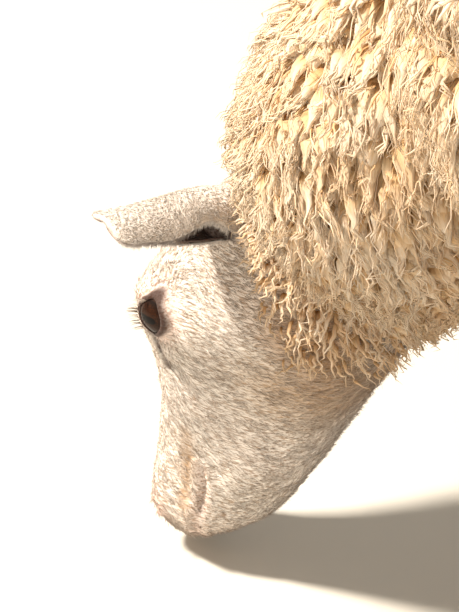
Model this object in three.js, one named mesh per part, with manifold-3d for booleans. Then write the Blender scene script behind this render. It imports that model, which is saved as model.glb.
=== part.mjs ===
// A life-size ewe in full fleece, head down to graze, as a still museum model.
//
// Millimetres, +Z up. The ewe faces -Y, her left side is +X, and her hooves stand on z = 0.
// Every flesh shape is a loft: a ring of points carried along a line, with its heights and
// widths read from short profiles. The profiles give the bare body, and the depth of the
// coat is added to them, so a solid reaches out to the tips of the wool or hair. The
// neighbours are then parted with manifold-3d, each cut a little wider than the piece that
// fills it.
import * as THREE from "three";
import { mergeVertices } from "three/addons/utils/BufferGeometryUtils.js";
import Module from "manifold-3d";

const wasm = await Module();
wasm.setup();

// ---- driving dimensions ---------------------------------------------------------------

const GAP = 0.4; // clearance between neighbouring pieces
const TOUCH = 0.6; // how far a cutter runs past the piece that it cuts for

const HEAD_PITCH = THREE.MathUtils.degToRad(72); // the head's axis below the horizontal
const HEAD_ORIGIN = new THREE.Vector3(0, -470, 254); // where u = v = 0 on the head's axis
const HEAD_START = -40; // along the head's axis, hidden in the neck
const HEAD_LENGTH = 252; // along the head's axis, from its origin to the lips
const MUZZLE_START = 214; // where the muzzle starts to close
const MUZZLE_SLANT = 0.42; // how far the upper lip leads the chin, for each mm of depth
const HAIR = 3; // short hair on the face and the lower legs

const COAT_BACK = 62; // depth of the fleece over the back
const COAT_SIDE = 68; // and on the flanks
const COAT_BELLY = 44; // and under the belly

const EYE = { u: 94, v: 15.5, w: 47, radius: 14 };
const EAR = { u: 20, v: 1.5, w: 40, length: 98, thickness: 4.2 };

const STANCE = {
  // each foot's place on the floor: x, and y of the fetlock
  front_left: { x: 88, y: -178 },
  front_right: { x: -88, y: -262 },
  hind_left: { x: 92, y: 338 },
  hind_right: { x: -92, y: 392 },
};

// ---- profiles: [place along the line, value], a smooth curve runs through them ---------

const HEAD_TOP = [
  [-40, -20], [0, 2], [28, 22], [50, 35], [74, 42], [98, 42], [126, 35], [154, 28], [182, 22],
  [208, 16], [228, 10], [252, 2],
];
const HEAD_BOTTOM = [
  [-40, -72], [0, -84], [34, -92], [64, -93], [100, -88], [136, -80], [160, -74], [182, -68],
  [205, -62], [230, -54], [252, -46],
];
const HEAD_BROW = [
  [-40, 22], [0, 26], [28, 31], [50, 35], [69, 39], [84, 45], [96, 47], [110, 43], [126, 37],
  [154, 24], [182, 17], [208, 15], [230, 17], [252, 14],
];
const HEAD_SIDE = [
  [-40, 36], [0, 44], [30, 48], [60, 50], [86, 53], [100, 53], [120, 47], [140, 39], [164, 32],
  [200, 27], [230, 27], [252, 22],
];
const HEAD_CHEEK = [
  [-40, 42], [0, 48], [30, 52], [60, 53], [90, 51], [122, 43], [160, 34], [200, 29], [230, 28],
  [252, 24],
];
const HEAD_JAW = [
  [-40, 32], [0, 36], [30, 39], [64, 38], [100, 34], [136, 28], [170, 24], [205, 21], [230, 20],
  [252, 16],
];

const TRUNK_FRONT = -300;
const TRUNK_REAR = 398;
const TRUNK_TOP = [
  [-300, 520], [-230, 600], [-150, 648], [-40, 654], [100, 650], [230, 658], [320, 642],
  [398, 592],
];
const TRUNK_BOTTOM = [
  [-300, 392], [-235, 352], [-150, 332], [0, 328], [130, 338], [250, 372], [330, 420], [398, 465],
];
const TRUNK_WIDTH = [
  [-300, 96], [-230, 116], [-120, 136], [20, 152], [140, 154], [250, 140], [330, 122], [398, 98],
];

// The neck, station by station from the withers to the head: the middle (y, z), the slope
// below the horizontal, the half-depth and half-width of the bare neck, and the fleece's
// depth over the nape, under the throat and on the sides.
const NECK = [
  [0, -140, 500, 20, 148, 96, 58, 44, 60],
  [1, -210, 458, 33, 118, 92, 60, 48, 62],
  [2, -272, 406, 43, 86, 80, 60, 46, 60],
  [3, -328, 348, 47, 64, 68, 58, 42, 60],
  [4, -380, 288, 50, 53, 57, 54, 36, 52],
  [5, -418, 246, 57, 46, 48, 38, 34, 28],
  [6, -434, 220, 60, 42, 44, 14, 32, 4],
  [7, -446, 190, 62, 34, 32, 0, 0, 0],
];

// Legs: [height, half-width across, half-width fore and aft, shift fore (-) or aft (+), coat].
const FORE_LEG = [
  [412, 34, 54, 18, 30],
  [350, 31, 46, 10, 34],
  [300, 27, 37, 4, 28],
  [262, 23, 29, 0, 16],
  [232, 21.5, 25, -2, 6],
  [208, 21, 23.5, -2, 4],
  [182, 15.5, 18, 1, 3],
  [140, 12.5, 15, 2, 3],
  [104, 13.5, 17, 1, 3],
  [80, 17.5, 21, 1, 4],
  [56, 14.5, 17, -7, 3],
  [37, 18.5, 21.5, -15, 3],
];
const HIND_LEG = [
  [480, 46, 92, -62, 34],
  [420, 43, 78, -40, 38],
  [360, 35, 56, -8, 34],
  [312, 26, 41, 24, 22],
  [282, 21, 33, 40, 10],
  [256, 19, 29, 46, 5],
  [226, 15.5, 21, 39, 3],
  [160, 13, 16, 20, 3],
  [108, 14, 17, 7, 3],
  [80, 17.5, 21, 1, 4],
  [56, 14.5, 17, -7, 3],
  [37, 18.5, 21.5, -15, 3],
];

// ---- small tools -----------------------------------------------------------------------

// The value at x of a smooth curve through [x, value] knots: cubic Hermite pieces whose
// slope at each knot is that of the line between its neighbours.
function along(knots, x, column = 1) {
  const last = knots.length - 1;
  const t = THREE.MathUtils.clamp(x, Math.min(knots[0][0], knots[last][0]),
    Math.max(knots[0][0], knots[last][0]));
  const up = knots[last][0] > knots[0][0];
  let i = 0;
  while (i < last - 1 && (up ? t > knots[i + 1][0] : t < knots[i + 1][0])) i++;
  const slope = (k) => {
    const a = Math.max(k - 1, 0);
    const b = Math.min(k + 1, last);
    return (knots[b][column] - knots[a][column]) / (knots[b][0] - knots[a][0]);
  };
  const h = knots[i + 1][0] - knots[i][0];
  const s = (t - knots[i][0]) / h;
  const s2 = s * s;
  const s3 = s2 * s;
  return (2 * s3 - 3 * s2 + 1) * knots[i][column] + (s3 - 2 * s2 + s) * h * slope(i)
    + (3 * s2 - 2 * s3) * knots[i + 1][column] + (s3 - s2) * h * slope(i + 1);
}

// Rises smoothly from 0 at a to 1 at b.
const ramp = (a, b, x) => THREE.MathUtils.smoothstep(x, a, b);

// A round bump of height 1 that fades to nothing at about twice its size.
const bump = (distance, size) => Math.exp(-((distance / size) ** 2));

// A quarter-ellipse that closes a loft: 1 up to start, 0 at end.
function closing(x, start, end) {
  const t = THREE.MathUtils.clamp((x - start) / (end - start), 0, 1);
  return Math.sqrt(Math.max(0, 1 - t * t));
}

// The triangles that close a ring of n points, numbered from start. A round ring gets a
// fan from the middle point, and a ring that doubles back on itself gets a strip.
function fan(start, n, middle) {
  return Array.from({ length: n }, (_, j) => [start + ((j + 1) % n), start + j, middle]).flat();
}

function strip(start, n) {
  const triangles = [];
  for (let j = 0; j < n / 2 - 1; j++) {
    const a = start + j;
    const b = start + n - 1 - j;
    triangles.push(a + 1, a, b, a + 1, b, b - 1);
  }
  return triangles;
}

// The middle of a ring of points.
function middleOf(ring) {
  const middle = new THREE.Vector3();
  ring.forEach((p) => middle.addScaledVector(p, 1 / ring.length));
  return middle;
}

// Moves the two end rings of a loft outwards along it.
function lengthen(rings, by) {
  const last = rings.length - 1;
  for (const [end, next] of [[0, 1], [last, last - 1]]) {
    const out = middleOf(rings[end]).sub(middleOf(rings[next])).setLength(by);
    if (by > 0) rings[end].forEach((p) => p.add(out));
  }
  return rings;
}

// A closed surface through equal rings of points, its two ends closed by fan or strip.
function loft(rings, cap = fan) {
  const n = rings[0].length;
  const points = rings.flat();
  const triangles = [];
  for (let i = 0; i < rings.length - 1; i++) {
    for (let j = 0; j < n; j++) {
      const a = i * n + j;
      const b = i * n + ((j + 1) % n);
      triangles.push(a, b, b + n, a, b + n, a + n);
    }
  }
  const close = (ring, start) => {
    if (cap === fan) points.push(middleOf(ring));
    return cap(start, n, points.length - 1);
  };
  triangles.push(...close(rings[0], 0));
  const end = close(rings[rings.length - 1], (rings.length - 1) * n);
  for (let i = 0; i < end.length; i += 3) triangles.push(end[i + 1], end[i], end[i + 2]);
  return solid(points, triangles);
}

// A manifold solid from points and triangles, turned right side out.
function solid(points, triangles) {
  const build = (order) => new wasm.Manifold(new wasm.Mesh({
    numProp: 3,
    vertProperties: new Float32Array(points.flatMap((p) => [p.x, p.y, p.z])),
    triVerts: new Uint32Array(order),
  }));
  const made = build(triangles);
  if (made.volume() > 0) return made;
  const turned = [];
  for (let i = 0; i < triangles.length; i += 3) {
    turned.push(triangles[i], triangles[i + 2], triangles[i + 1]);
  }
  return build(turned);
}

// The solid of a three.js geometry.
function solidOf(geometry) {
  const bare = geometry.clone();
  bare.deleteAttribute("normal");
  bare.deleteAttribute("uv");
  const merged = mergeVertices(bare, 1e-3);
  const place = merged.attributes.position;
  const points = [];
  for (let i = 0; i < place.count; i++) {
    points.push(new THREE.Vector3().fromBufferAttribute(place, i));
  }
  return solid(points, Array.from(merged.index.array));
}

// The biggest body of a solid, which drops slivers that a cut leaves behind.
function biggest(made) {
  return made.decompose().reduce((a, b) => (a.volume() > b.volume() ? a : b));
}

// ---- head ------------------------------------------------------------------------------

const AXIS = new THREE.Vector3(0, -Math.cos(HEAD_PITCH), -Math.sin(HEAD_PITCH)); // to the nose
const DORSAL = new THREE.Vector3(0, -Math.sin(HEAD_PITCH), Math.cos(HEAD_PITCH)); // to the brow
const LEFT = new THREE.Vector3(1, 0, 0);

// A point of the head's own frame: u along the axis, v to the brow, w to the left.
function headPoint(u, v, w) {
  return HEAD_ORIGIN.clone().addScaledVector(AXIS, u).addScaledVector(DORSAL, v)
    .addScaledVector(LEFT, w);
}

// Bumps and hollows of the bare head, the same on both sides: [u, v, w, size, height].
const HEAD_BUMPS = [
  [92, 36, 48, 13, 3.4], // upper rim of the eye
  [114, 30, 42, 10, 2.2], // front rim of the eye
  [96, 2, 54, 15, 2.6], // cheekbone
  [60, -36, 54, 28, 4], // chewing muscle
  [20, 0, 46, 19, 6], // root of the ear
  [234, 0, 24, 9, 3], // wing of the nostril
  [226, -28, 27, 10, 2], // upper lip
  [228, -54, 8, 13, 2], // chin
  [243, -6, 14, 6, -3.5], // beside the nostril
  [132, 6, 44, 13, -3.5], // ahead of the eye
  [186, -18, 30, 20, -2.5], // between cheek and lips
];
const JAW_HOLLOW = { v: -88, size: 16, depth: 4 }; // along the throat, between the jawbones

// How far the bare head bulges out at a point.
function headRelief(u, v, w) {
  const side = Math.abs(w);
  const hollow = JAW_HOLLOW.depth * bump(Math.hypot(v - JAW_HOLLOW.v, side), JAW_HOLLOW.size);
  return HEAD_BUMPS.reduce(
    (sum, [a, b, c, size, height]) => (
      sum + height * bump(Math.hypot(u - a, v - b, side - c), size)
    ),
    -hollow * ramp(70, 120, u),
  );
}

// The half-widths of the head, each at its level below the top as a share of the depth.
const HEAD_LEVELS = [[HEAD_BROW, 0.08], [HEAD_SIDE, 0.28], [HEAD_CHEEK, 0.56], [HEAD_JAW, 0.89]];

// One ring of the head. Its side runs through the brow's edge, the widest part, the cheek
// and the jaw, mirrored to the other side, as a closed curve.
function headRing(u, coat, count) {
  const top = along(HEAD_TOP, u);
  const bottom = along(HEAD_BOTTOM, u);
  const depth = top - bottom;
  const close = closing(u, MUZZLE_START, HEAD_LENGTH);
  const middle = (top + bottom) / 2;
  const side = HEAD_LEVELS.map(([knots, level]) => [along(knots, u), top - level * depth]);
  const otherSide = side.slice().reverse().map(([w, v]) => [-w, v]);
  const outline = [[0, top], ...side, [0, bottom], ...otherSide];
  const curve = new THREE.CatmullRomCurve3(
    outline.map(([w, v]) => new THREE.Vector3(w * close, middle + (v - middle) * close, 0)),
    true,
    "catmullrom",
    0.5,
  );
  const centre = new THREE.Vector3(0, middle, 0);
  return Array.from({ length: count }, (_, i) => {
    const p = curve.getPoint(i / count);
    const out = p.clone().sub(centre);
    if (out.length() > 1e-6) out.normalize();
    const grow = coat + headRelief(u, p.y, p.x) * Math.min(1, 3 * close);
    p.addScaledVector(out, Math.max(grow, coat * close));
    const slant = MUZZLE_SLANT * (p.y - middle) * ramp(MUZZLE_START - 50, HEAD_LENGTH, u);
    return headPoint(u + slant, p.y, p.x);
  });
}

function headSolid(coat) {
  const stations = 25;
  const around = 24;
  const end = HEAD_LENGTH + coat;
  const rings = [];
  for (let i = 0; i < stations; i++) {
    const t = i / (stations - 1);
    // stations crowd towards the muzzle, where the shape turns fastest
    const u = HEAD_START + (HEAD_LENGTH - 0.35 - HEAD_START) * (1 - (1 - t) ** 1.45);
    const ring = headRing(u, coat, around);
    const reach = (end - HEAD_LENGTH) * ramp(MUZZLE_START, HEAD_LENGTH, u);
    rings.push(ring.map((p) => p.addScaledVector(AXIS, reach)));
  }
  return loft(lengthen(rings, coat - HAIR));
}

// ---- ears, eyes ------------------------------------------------------------------------

// An ear is a leaf rolled into a trumpet at its root. Across the leaf the points lie on an
// arc; the arc's turn falls from nearly a full circle at the root to a shallow dish, and
// the hollow twists from facing back and down at the root to down and ahead at the tip.
const EAR_HALF_WIDTH = [
  [0, 45], [0.12, 40], [0.35, 30.5], [0.5, 26.5], [0.65, 20.5], [0.8, 16.5], [0.9, 15],
  [0.955, 13], [0.982, 10], [0.995, 6.5], [1, 3.5],
];
const EAR_TURN = [ // degrees
  [0, 352], [0.1, 340], [0.2, 304], [0.3, 272], [0.45, 222], [0.6, 172], [0.8, 116], [1, 80],
];
const EAR_TWIST = [ // degrees
  [0, -14], [0.1, -14], [0.3, -12], [0.4, -2], [0.5, 20], [0.62, 46], [0.8, 56], [1, 60],
];
const EAR_DROOP = 6; // how far the tip sags under the ear's own line
const EAR_DIRECTION = new THREE.Vector3(0.925, -0.108, 0.392); // root to tip, left ear
const EAR_OPENING = new THREE.Vector3(0.32, 0.65, -0.68); // the way the ear's hollow faces

function earSolid(sign, grow) {
  const direction = EAR_DIRECTION.clone().normalize();
  const opening = EAR_OPENING.clone()
    .addScaledVector(direction, -EAR_OPENING.dot(direction)).normalize();
  const across = new THREE.Vector3().crossVectors(direction, opening);
  const root = headPoint(EAR.u, EAR.v, EAR.w);
  const lengthwise = 11;
  const acrossSteps = 8;
  const sheet = (offset) => Array.from({ length: lengthwise + 1 }, (_, i) => {
    const t = Math.sin((Math.PI / 2) * (i / lengthwise)); // rings crowd towards the round tip
    const half = along(EAR_HALF_WIDTH, t);
    const bare = THREE.MathUtils.degToRad(along(EAR_TURN, t));
    const twist = THREE.MathUtils.degToRad(along(EAR_TWIST, t));
    const radius = (2 * half) / bare;
    const turn = bare + (2 * grow) / radius;
    const hollow = opening.clone().multiplyScalar(Math.cos(twist))
      .addScaledVector(across, -Math.sin(twist));
    const edge = across.clone().multiplyScalar(Math.cos(twist))
      .addScaledVector(opening, Math.sin(twist));
    const middle = root.clone()
      .addScaledVector(direction, t * (EAR.length + 2 * grow) - grow)
      .add(new THREE.Vector3(0, 0, -EAR_DROOP * t * t));
    return Array.from({ length: acrossSteps + 1 }, (_, j) => {
      const a = (j / acrossSteps - 0.5) * turn;
      const r = radius + offset;
      // the arc's middle stays near the ear's axis while the leaf flattens
      return middle.clone()
        .addScaledVector(hollow, radius * ramp(0.15, 1, t) - r * Math.cos(a))
        .addScaledVector(edge, r * Math.sin(a));
    });
  });
  const thick = EAR.thickness + 2 * grow;
  const outer = sheet(thick / 2);
  const inner = sheet(-thick / 2);
  // each ring runs along the outer face and back along the inner one
  const rings = outer.map((row, i) => [...row, ...inner[i].slice().reverse()]);
  rings.forEach((ring) => ring.forEach((p) => { p.x *= sign; }));
  return loft(rings, strip);
}

function eyeSolid(sign, grow) {
  const geometry = new THREE.SphereGeometry(EYE.radius + grow, 12, 8);
  const place = headPoint(EYE.u, EYE.v, EYE.w * sign);
  geometry.rotateZ(Math.PI / 2);
  geometry.translate(place.x, place.y, place.z);
  return solidOf(geometry);
}

// A nostril: a slit that runs back and out from the front of the muzzle, 5 mm deep.
const NOSTRIL = { u: 245, v: -1, w: 18, length: 10.5, height: 3, depth: 5 };

function nostrilSolid(sign) {
  const geometry = new THREE.SphereGeometry(1, 10, 6);
  const long = AXIS.clone().multiplyScalar(-0.64).addScaledVector(LEFT, 0.73 * sign)
    .addScaledVector(DORSAL, 0.23).normalize();
  const out = AXIS.clone().multiplyScalar(0.6).addScaledVector(LEFT, 0.6 * sign)
    .addScaledVector(DORSAL, 0.5);
  out.addScaledVector(long, -out.dot(long)).normalize();
  const across = new THREE.Vector3().crossVectors(long, out);
  const { length, height, depth } = NOSTRIL;
  geometry.applyMatrix4(new THREE.Matrix4().makeBasis(
    long.multiplyScalar(length),
    out.multiplyScalar(depth),
    across.multiplyScalar(height),
  ));
  geometry.translate(...headPoint(NOSTRIL.u, NOSTRIL.v, NOSTRIL.w * sign).toArray());
  return solidOf(geometry);
}

// ---- neck, trunk and tail --------------------------------------------------------------

// Soft lumps in the fleece, where bunches of locks stand a little prouder.
function lumps(p) {
  return Math.sin(p.x / 17 + 1.3 * Math.sin(p.z / 31)) * Math.sin(p.y / 19 + p.z / 27)
    + 0.6 * Math.sin(p.z / 15 + p.y / 33);
}

function neckRing(k, grow, count) {
  const [y, z, slope, depth, width, nape, throat, side] = [1, 2, 3, 4, 5, 6, 7, 8]
    .map((column) => along(NECK, k, column));
  const pitch = THREE.MathUtils.degToRad(slope);
  const up = new THREE.Vector3(0, -Math.sin(pitch), Math.cos(pitch)); // towards the nape
  const middle = new THREE.Vector3(0, y, z);
  return Array.from({ length: count }, (_, i) => {
    const a = (2 * Math.PI * i) / count;
    const c = Math.cos(a);
    const s = Math.sin(a);
    const out = up.clone().multiplyScalar(c).addScaledVector(LEFT, s);
    const p = middle.clone()
      .addScaledVector(up, c * (depth + (c > 0 ? nape : throat)))
      .addScaledVector(LEFT, s * (width + side));
    return p.addScaledVector(out, grow + 3.5 * lumps(p) * ramp(6, 4, k));
  });
}

function neckSolid(grow) {
  const stations = 13;
  const last = NECK.length - 1;
  const ring = (_, i) => neckRing((last * i) / (stations - 1), grow, 20);
  return loft(lengthen(Array.from({ length: stations }, ring), grow));
}

function trunkRing(y, grow, count) {
  const ends = closing(y, TRUNK_FRONT + 120, TRUNK_FRONT) * closing(y, TRUNK_REAR - 92, TRUNK_REAR);
  const top = along(TRUNK_TOP, y);
  const bottom = along(TRUNK_BOTTOM, y);
  const width = along(TRUNK_WIDTH, y);
  const middle = (top + bottom) / 2;
  const half = (top - bottom) / 2;
  const squareness = 0.82; // under 1 fills the corners of the ellipse
  return Array.from({ length: count }, (_, i) => {
    const a = (2 * Math.PI * i) / count;
    const c = Math.cos(a);
    const s = Math.sin(a);
    const coat = (c > 0 ? COAT_BACK : COAT_BELLY) * Math.abs(c) + COAT_SIDE * Math.abs(s);
    const p = new THREE.Vector3(
      Math.sign(s) * Math.abs(s) ** squareness * (width + coat * Math.abs(s)) * ends,
      y,
      middle + Math.sign(c) * Math.abs(c) ** squareness * (half + coat * Math.abs(c)) * ends,
    );
    const out = new THREE.Vector3(s, 0, c);
    return p.addScaledVector(out, (grow + 5 * lumps(p)) * ends);
  });
}

function trunkSolid() {
  const stations = 17;
  const rings = [];
  for (let i = 0; i < stations; i++) {
    // even steps of a half turn, so that stations crowd towards the two rounded ends
    const t = (1 - Math.cos((Math.PI * (i + 0.35)) / (stations - 0.3))) / 2;
    const y = TRUNK_FRONT + (TRUNK_REAR - TRUNK_FRONT) * t;
    const stretch = COAT_SIDE * 0.92 * (2 * t - 1) * Math.abs(2 * t - 1);
    rings.push(trunkRing(y, 0, 20).map((p) => p.add(new THREE.Vector3(0, stretch, 0))));
  }
  return loft(rings);
}

// A docked tail that hangs down behind, all fleece.
const TAIL = [[0, 405, 618, 30], [0.3, 446, 590, 36], [0.65, 468, 520, 37], [1, 466, 436, 26]];

function tailSolid(grow) {
  const stations = 11;
  const rings = [];
  for (let i = 0; i < stations; i++) {
    const t = i / (stations - 1);
    const close = closing(t, 0.72, 1.01);
    const centre = new THREE.Vector3(0, along(TAIL, t, 1), along(TAIL, t, 2));
    const next = new THREE.Vector3(0, along(TAIL, t + 0.02, 1), along(TAIL, t + 0.02, 2));
    const back = new THREE.Vector3(0, along(TAIL, t - 0.02, 1), along(TAIL, t - 0.02, 2));
    const ahead = next.sub(back).normalize();
    const up = new THREE.Vector3(0, -ahead.z, ahead.y);
    const radius = along(TAIL, t, 3) * close + grow;
    rings.push(Array.from({ length: 14 }, (_, j) => {
      const a = (2 * Math.PI * j) / 14;
      return centre.clone().addScaledVector(up, radius * 0.8 * Math.cos(a))
        .addScaledVector(LEFT, radius * Math.sin(a));
    }));
  }
  return loft(lengthen(rings, grow));
}

// ---- legs ------------------------------------------------------------------------------

// The leg's middle at a height: straight down from its foot, shifted by the leg's own
// column, and drawn in towards its root under the body.
function legCentre(table, foot, rootY, z) {
  const swing = ramp(80, table[0][0], z);
  const y = foot.y + (rootY - foot.y) * swing + along(table, z, 3);
  return new THREE.Vector3(foot.x * (1 - 0.08 * swing), y, z);
}

function legRing(table, foot, rootY, z, grow) {
  const centre = legCentre(table, foot, rootY, z);
  const coat = along(table, z, 4) + grow;
  return Array.from({ length: 12 }, (_, j) => {
    const a = (2 * Math.PI * j) / 12;
    return centre.clone().add(new THREE.Vector3(
      (along(table, z, 1) + coat) * Math.sin(a),
      (along(table, z, 2) + coat) * Math.cos(a),
      0,
    ));
  });
}

function legSolid(table, foot, rootY, low, high, grow) {
  const stations = Math.max(4, Math.round((high - low) / 23));
  const rings = [];
  for (let i = 0; i <= stations; i++) {
    rings.push(legRing(table, foot, rootY, low + ((high - low) * i) / stations, grow));
  }
  return loft(lengthen(rings, grow));
}

// One claw of a hoof: flat sole, steep toe, straight inner wall.
const CLAW_HEIGHT = 36;
const CLAW_RINGS = [
  // [height, toe ahead of the fetlock, heel behind it, width]
  [0, 52, -14, 20],
  [3, 51, -15, 21],
  [18, 42, -13, 20.5],
  [CLAW_HEIGHT - 6, 35, -8, 18.5],
  [CLAW_HEIGHT, 30, -3, 15],
];

function clawSolid(foot, side) {
  const inner = 2; // half of the cleft between the claws
  const rings = CLAW_RINGS.map(([z, toe, heel, width]) => Array.from({ length: 12 }, (_, j) => {
    const a = (2 * Math.PI * j) / 12;
    const s = Math.sin(a);
    const y = (toe + heel) / 2 + ((toe - heel) / 2) * Math.cos(a);
    // narrower and turned slightly in at the toe, flatter on the cleft's side
    const taper = 1 - 0.42 * Math.max(0, Math.cos(a)) ** 2;
    const bulge = s > 0 ? s * width * taper : s * 0.5;
    return new THREE.Vector3(foot.x + side * (inner + 0.5 + bulge), foot.y - y, z);
  }));
  return loft(rings);
}

// A dewclaw: a small cone behind the fetlock, its tip down and back.
const DEWCLAW = { radius: 6.5, length: 17, aside: 10, behind: 21, height: 66 };

function dewclawSolid(foot, side, grow) {
  const geometry = new THREE.ConeGeometry(DEWCLAW.radius + grow, DEWCLAW.length + 3 * grow, 8);
  geometry.rotateX(-Math.PI / 3);
  geometry.translate(foot.x + side * DEWCLAW.aside, foot.y + DEWCLAW.behind, DEWCLAW.height);
  return solidOf(geometry);
}

// ---- assembly --------------------------------------------------------------------------

const fleece = new THREE.MeshStandardMaterial({ name: "fleece", color: 0xe0cca6, roughness: 0.95 });
const hair = new THREE.MeshStandardMaterial({ name: "hair", color: 0xe9dccb, roughness: 0.8 });
const eye = new THREE.MeshStandardMaterial({ name: "eye", color: 0x6b3f17, roughness: 0.08 });
const horn = new THREE.MeshStandardMaterial({ name: "horn", color: 0x6f5d49, roughness: 0.55 });

const sheep = new THREE.Group();

function add(name, made, material) {
  const mesh = biggest(made).getMesh();
  const places = new Float32Array(mesh.numVert * 3);
  for (let i = 0; i < mesh.numVert; i++) {
    places.set(mesh.vertProperties.subarray(i * mesh.numProp, i * mesh.numProp + 3), i * 3);
  }
  const geometry = new THREE.BufferGeometry();
  geometry.setAttribute("position", new THREE.BufferAttribute(places, 3));
  geometry.setIndex(new THREE.BufferAttribute(new Uint32Array(mesh.triVerts), 1));
  geometry.computeVertexNormals();
  const piece = new THREE.Mesh(geometry, material);
  piece.name = name;
  sheep.add(piece);
}

// The head keeps clear of its eyes and ears, and is cut along the mouth into two pieces.
const SIDES = { left: 1, right: -1 };
let head = headSolid(HAIR);
for (const sign of Object.values(SIDES)) {
  head = head.subtract(eyeSolid(sign, GAP)).subtract(earSolid(sign, TOUCH))
    .subtract(nostrilSolid(sign));
}

// The lower jaw: all that lies under the mouth's line, ahead of the corner of the mouth.
const MOUTH = { corner: 192, tip: 290, cornerV: -29, tipV: -26, slit: 0.8 };

function mouthWedge(grow) {
  const rows = [-60, 60].map((w) => [
    headPoint(MOUTH.corner - grow - 14, -90, w),
    headPoint(MOUTH.corner - grow, MOUTH.cornerV + grow, w),
    headPoint(MOUTH.tip, MOUTH.tipV + grow, w),
    headPoint(MOUTH.tip, -90, w),
  ]);
  return loft(rows);
}

add("head", head.subtract(mouthWedge(MOUTH.slit)), hair);
add("lower_jaw", head.intersect(mouthWedge(0)), hair);
for (const [side, sign] of Object.entries(SIDES)) {
  add(`ear_${side}`, earSolid(sign, 0), hair);
  add(`eye_${side}`, eyeSolid(sign, 0), eye);
}

// The neck takes the back of the head into its fleece.
const headCutter = headSolid(HAIR + TOUCH);
let neck = neckSolid(0).subtract(headCutter);
for (const sign of Object.values(SIDES)) neck = neck.subtract(earSolid(sign, TOUCH));

let trunk = trunkSolid().subtract(neckSolid(TOUCH)).subtract(tailSolid(TOUCH));

// Each leg in two pieces, upper and lower, that meet above the knee or the hock.
const LEGS = {
  front_left: { table: FORE_LEG, rootY: -215, joint: 236 },
  front_right: { table: FORE_LEG, rootY: -235, joint: 236 },
  hind_left: { table: HIND_LEG, rootY: 350, joint: 286 },
  hind_right: { table: HIND_LEG, rootY: 372, joint: 286 },
};
for (const [name, leg] of Object.entries(LEGS)) {
  const foot = STANCE[name];
  const top = leg.table[0][0];
  const ankle = CLAW_HEIGHT + GAP;
  add(`leg_${name}_upper`, legSolid(leg.table, foot, leg.rootY, leg.joint + GAP, top, 0), fleece);
  add(`leg_${name}_lower`, legSolid(leg.table, foot, leg.rootY, ankle, leg.joint, 0)
    .subtract(dewclawSolid(foot, 1, GAP)).subtract(dewclawSolid(foot, -1, GAP)), hair);
  const socket = legSolid(leg.table, foot, leg.rootY, leg.joint + GAP, top, GAP);
  trunk = trunk.subtract(socket);
  neck = neck.subtract(socket);
  const outer = Math.sign(foot.x);
  for (const [side, sign] of Object.entries({ outer, inner: -outer })) {
    add(`hoof_${name}_${side}`, clawSolid(foot, sign), horn);
    add(`dewclaw_${name}_${side}`, dewclawSolid(foot, sign, 0), horn);
  }
}

add("neck", neck, fleece);
add("trunk", trunk, fleece);
add("tail", tailSolid(0), fleece);

// The origin is the middle of the floor under her.
const bounds = new THREE.Box3().setFromObject(sheep);
const middle = bounds.getCenter(new THREE.Vector3());
sheep.position.set(-middle.x, -middle.y, -bounds.min.z);

export default sheep;
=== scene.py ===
"""A life-size ewe in full fleece, head down to graze: the visual model.

Shapes are worked out in millimetres in the maker's frame, where the ewe faces -Y and her left
side is +X. The head has a frame of its own: u runs along its axis to the lips, v towards the
brow and w to the left. as_metres() moves points from the maker's frame into the row frame.
"""

import math

import bpy
import numpy as np
from mathutils import Matrix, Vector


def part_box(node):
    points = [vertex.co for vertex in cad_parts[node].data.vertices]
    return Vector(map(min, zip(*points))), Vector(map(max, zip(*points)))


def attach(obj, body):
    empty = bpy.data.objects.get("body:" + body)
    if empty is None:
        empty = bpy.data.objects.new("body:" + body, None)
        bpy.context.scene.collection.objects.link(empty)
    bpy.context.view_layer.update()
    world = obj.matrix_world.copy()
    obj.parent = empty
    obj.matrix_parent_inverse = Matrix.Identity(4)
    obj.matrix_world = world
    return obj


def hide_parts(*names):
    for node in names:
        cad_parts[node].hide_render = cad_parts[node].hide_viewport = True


bl_info = {
    "name": "Grazing ewe in full fleece",
    "version": (1, 0, 0),
    "blender": (4, 5, 0),
    "location": "View3D > Sidebar > Ewe",
    "description": "Builds the skin, eyes, hooves, wool and hair of a life-size ewe",
    "category": "Add Mesh",
}

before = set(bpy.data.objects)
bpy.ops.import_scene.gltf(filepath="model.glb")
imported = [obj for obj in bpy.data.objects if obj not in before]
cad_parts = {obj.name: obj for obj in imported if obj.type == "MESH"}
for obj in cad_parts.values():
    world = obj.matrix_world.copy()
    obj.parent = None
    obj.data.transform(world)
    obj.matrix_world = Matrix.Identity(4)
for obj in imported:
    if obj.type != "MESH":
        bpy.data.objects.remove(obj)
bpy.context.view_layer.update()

# ---- sizes of the bare body, the same as the solids', in millimetres ---------------------

HEAD_PITCH = math.radians(72)  # the head's axis below the horizontal
HEAD_ORIGIN = np.array([0.0, -470.0, 254.0])
HEAD_START, HEAD_LENGTH, MUZZLE_START, MUZZLE_SLANT = -40.0, 252.0, 214.0, 0.42
AXIS = np.array([0.0, -math.cos(HEAD_PITCH), -math.sin(HEAD_PITCH)])
DORSAL = np.array([0.0, -math.sin(HEAD_PITCH), math.cos(HEAD_PITCH)])
LEFT = np.array([1.0, 0.0, 0.0])

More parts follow.
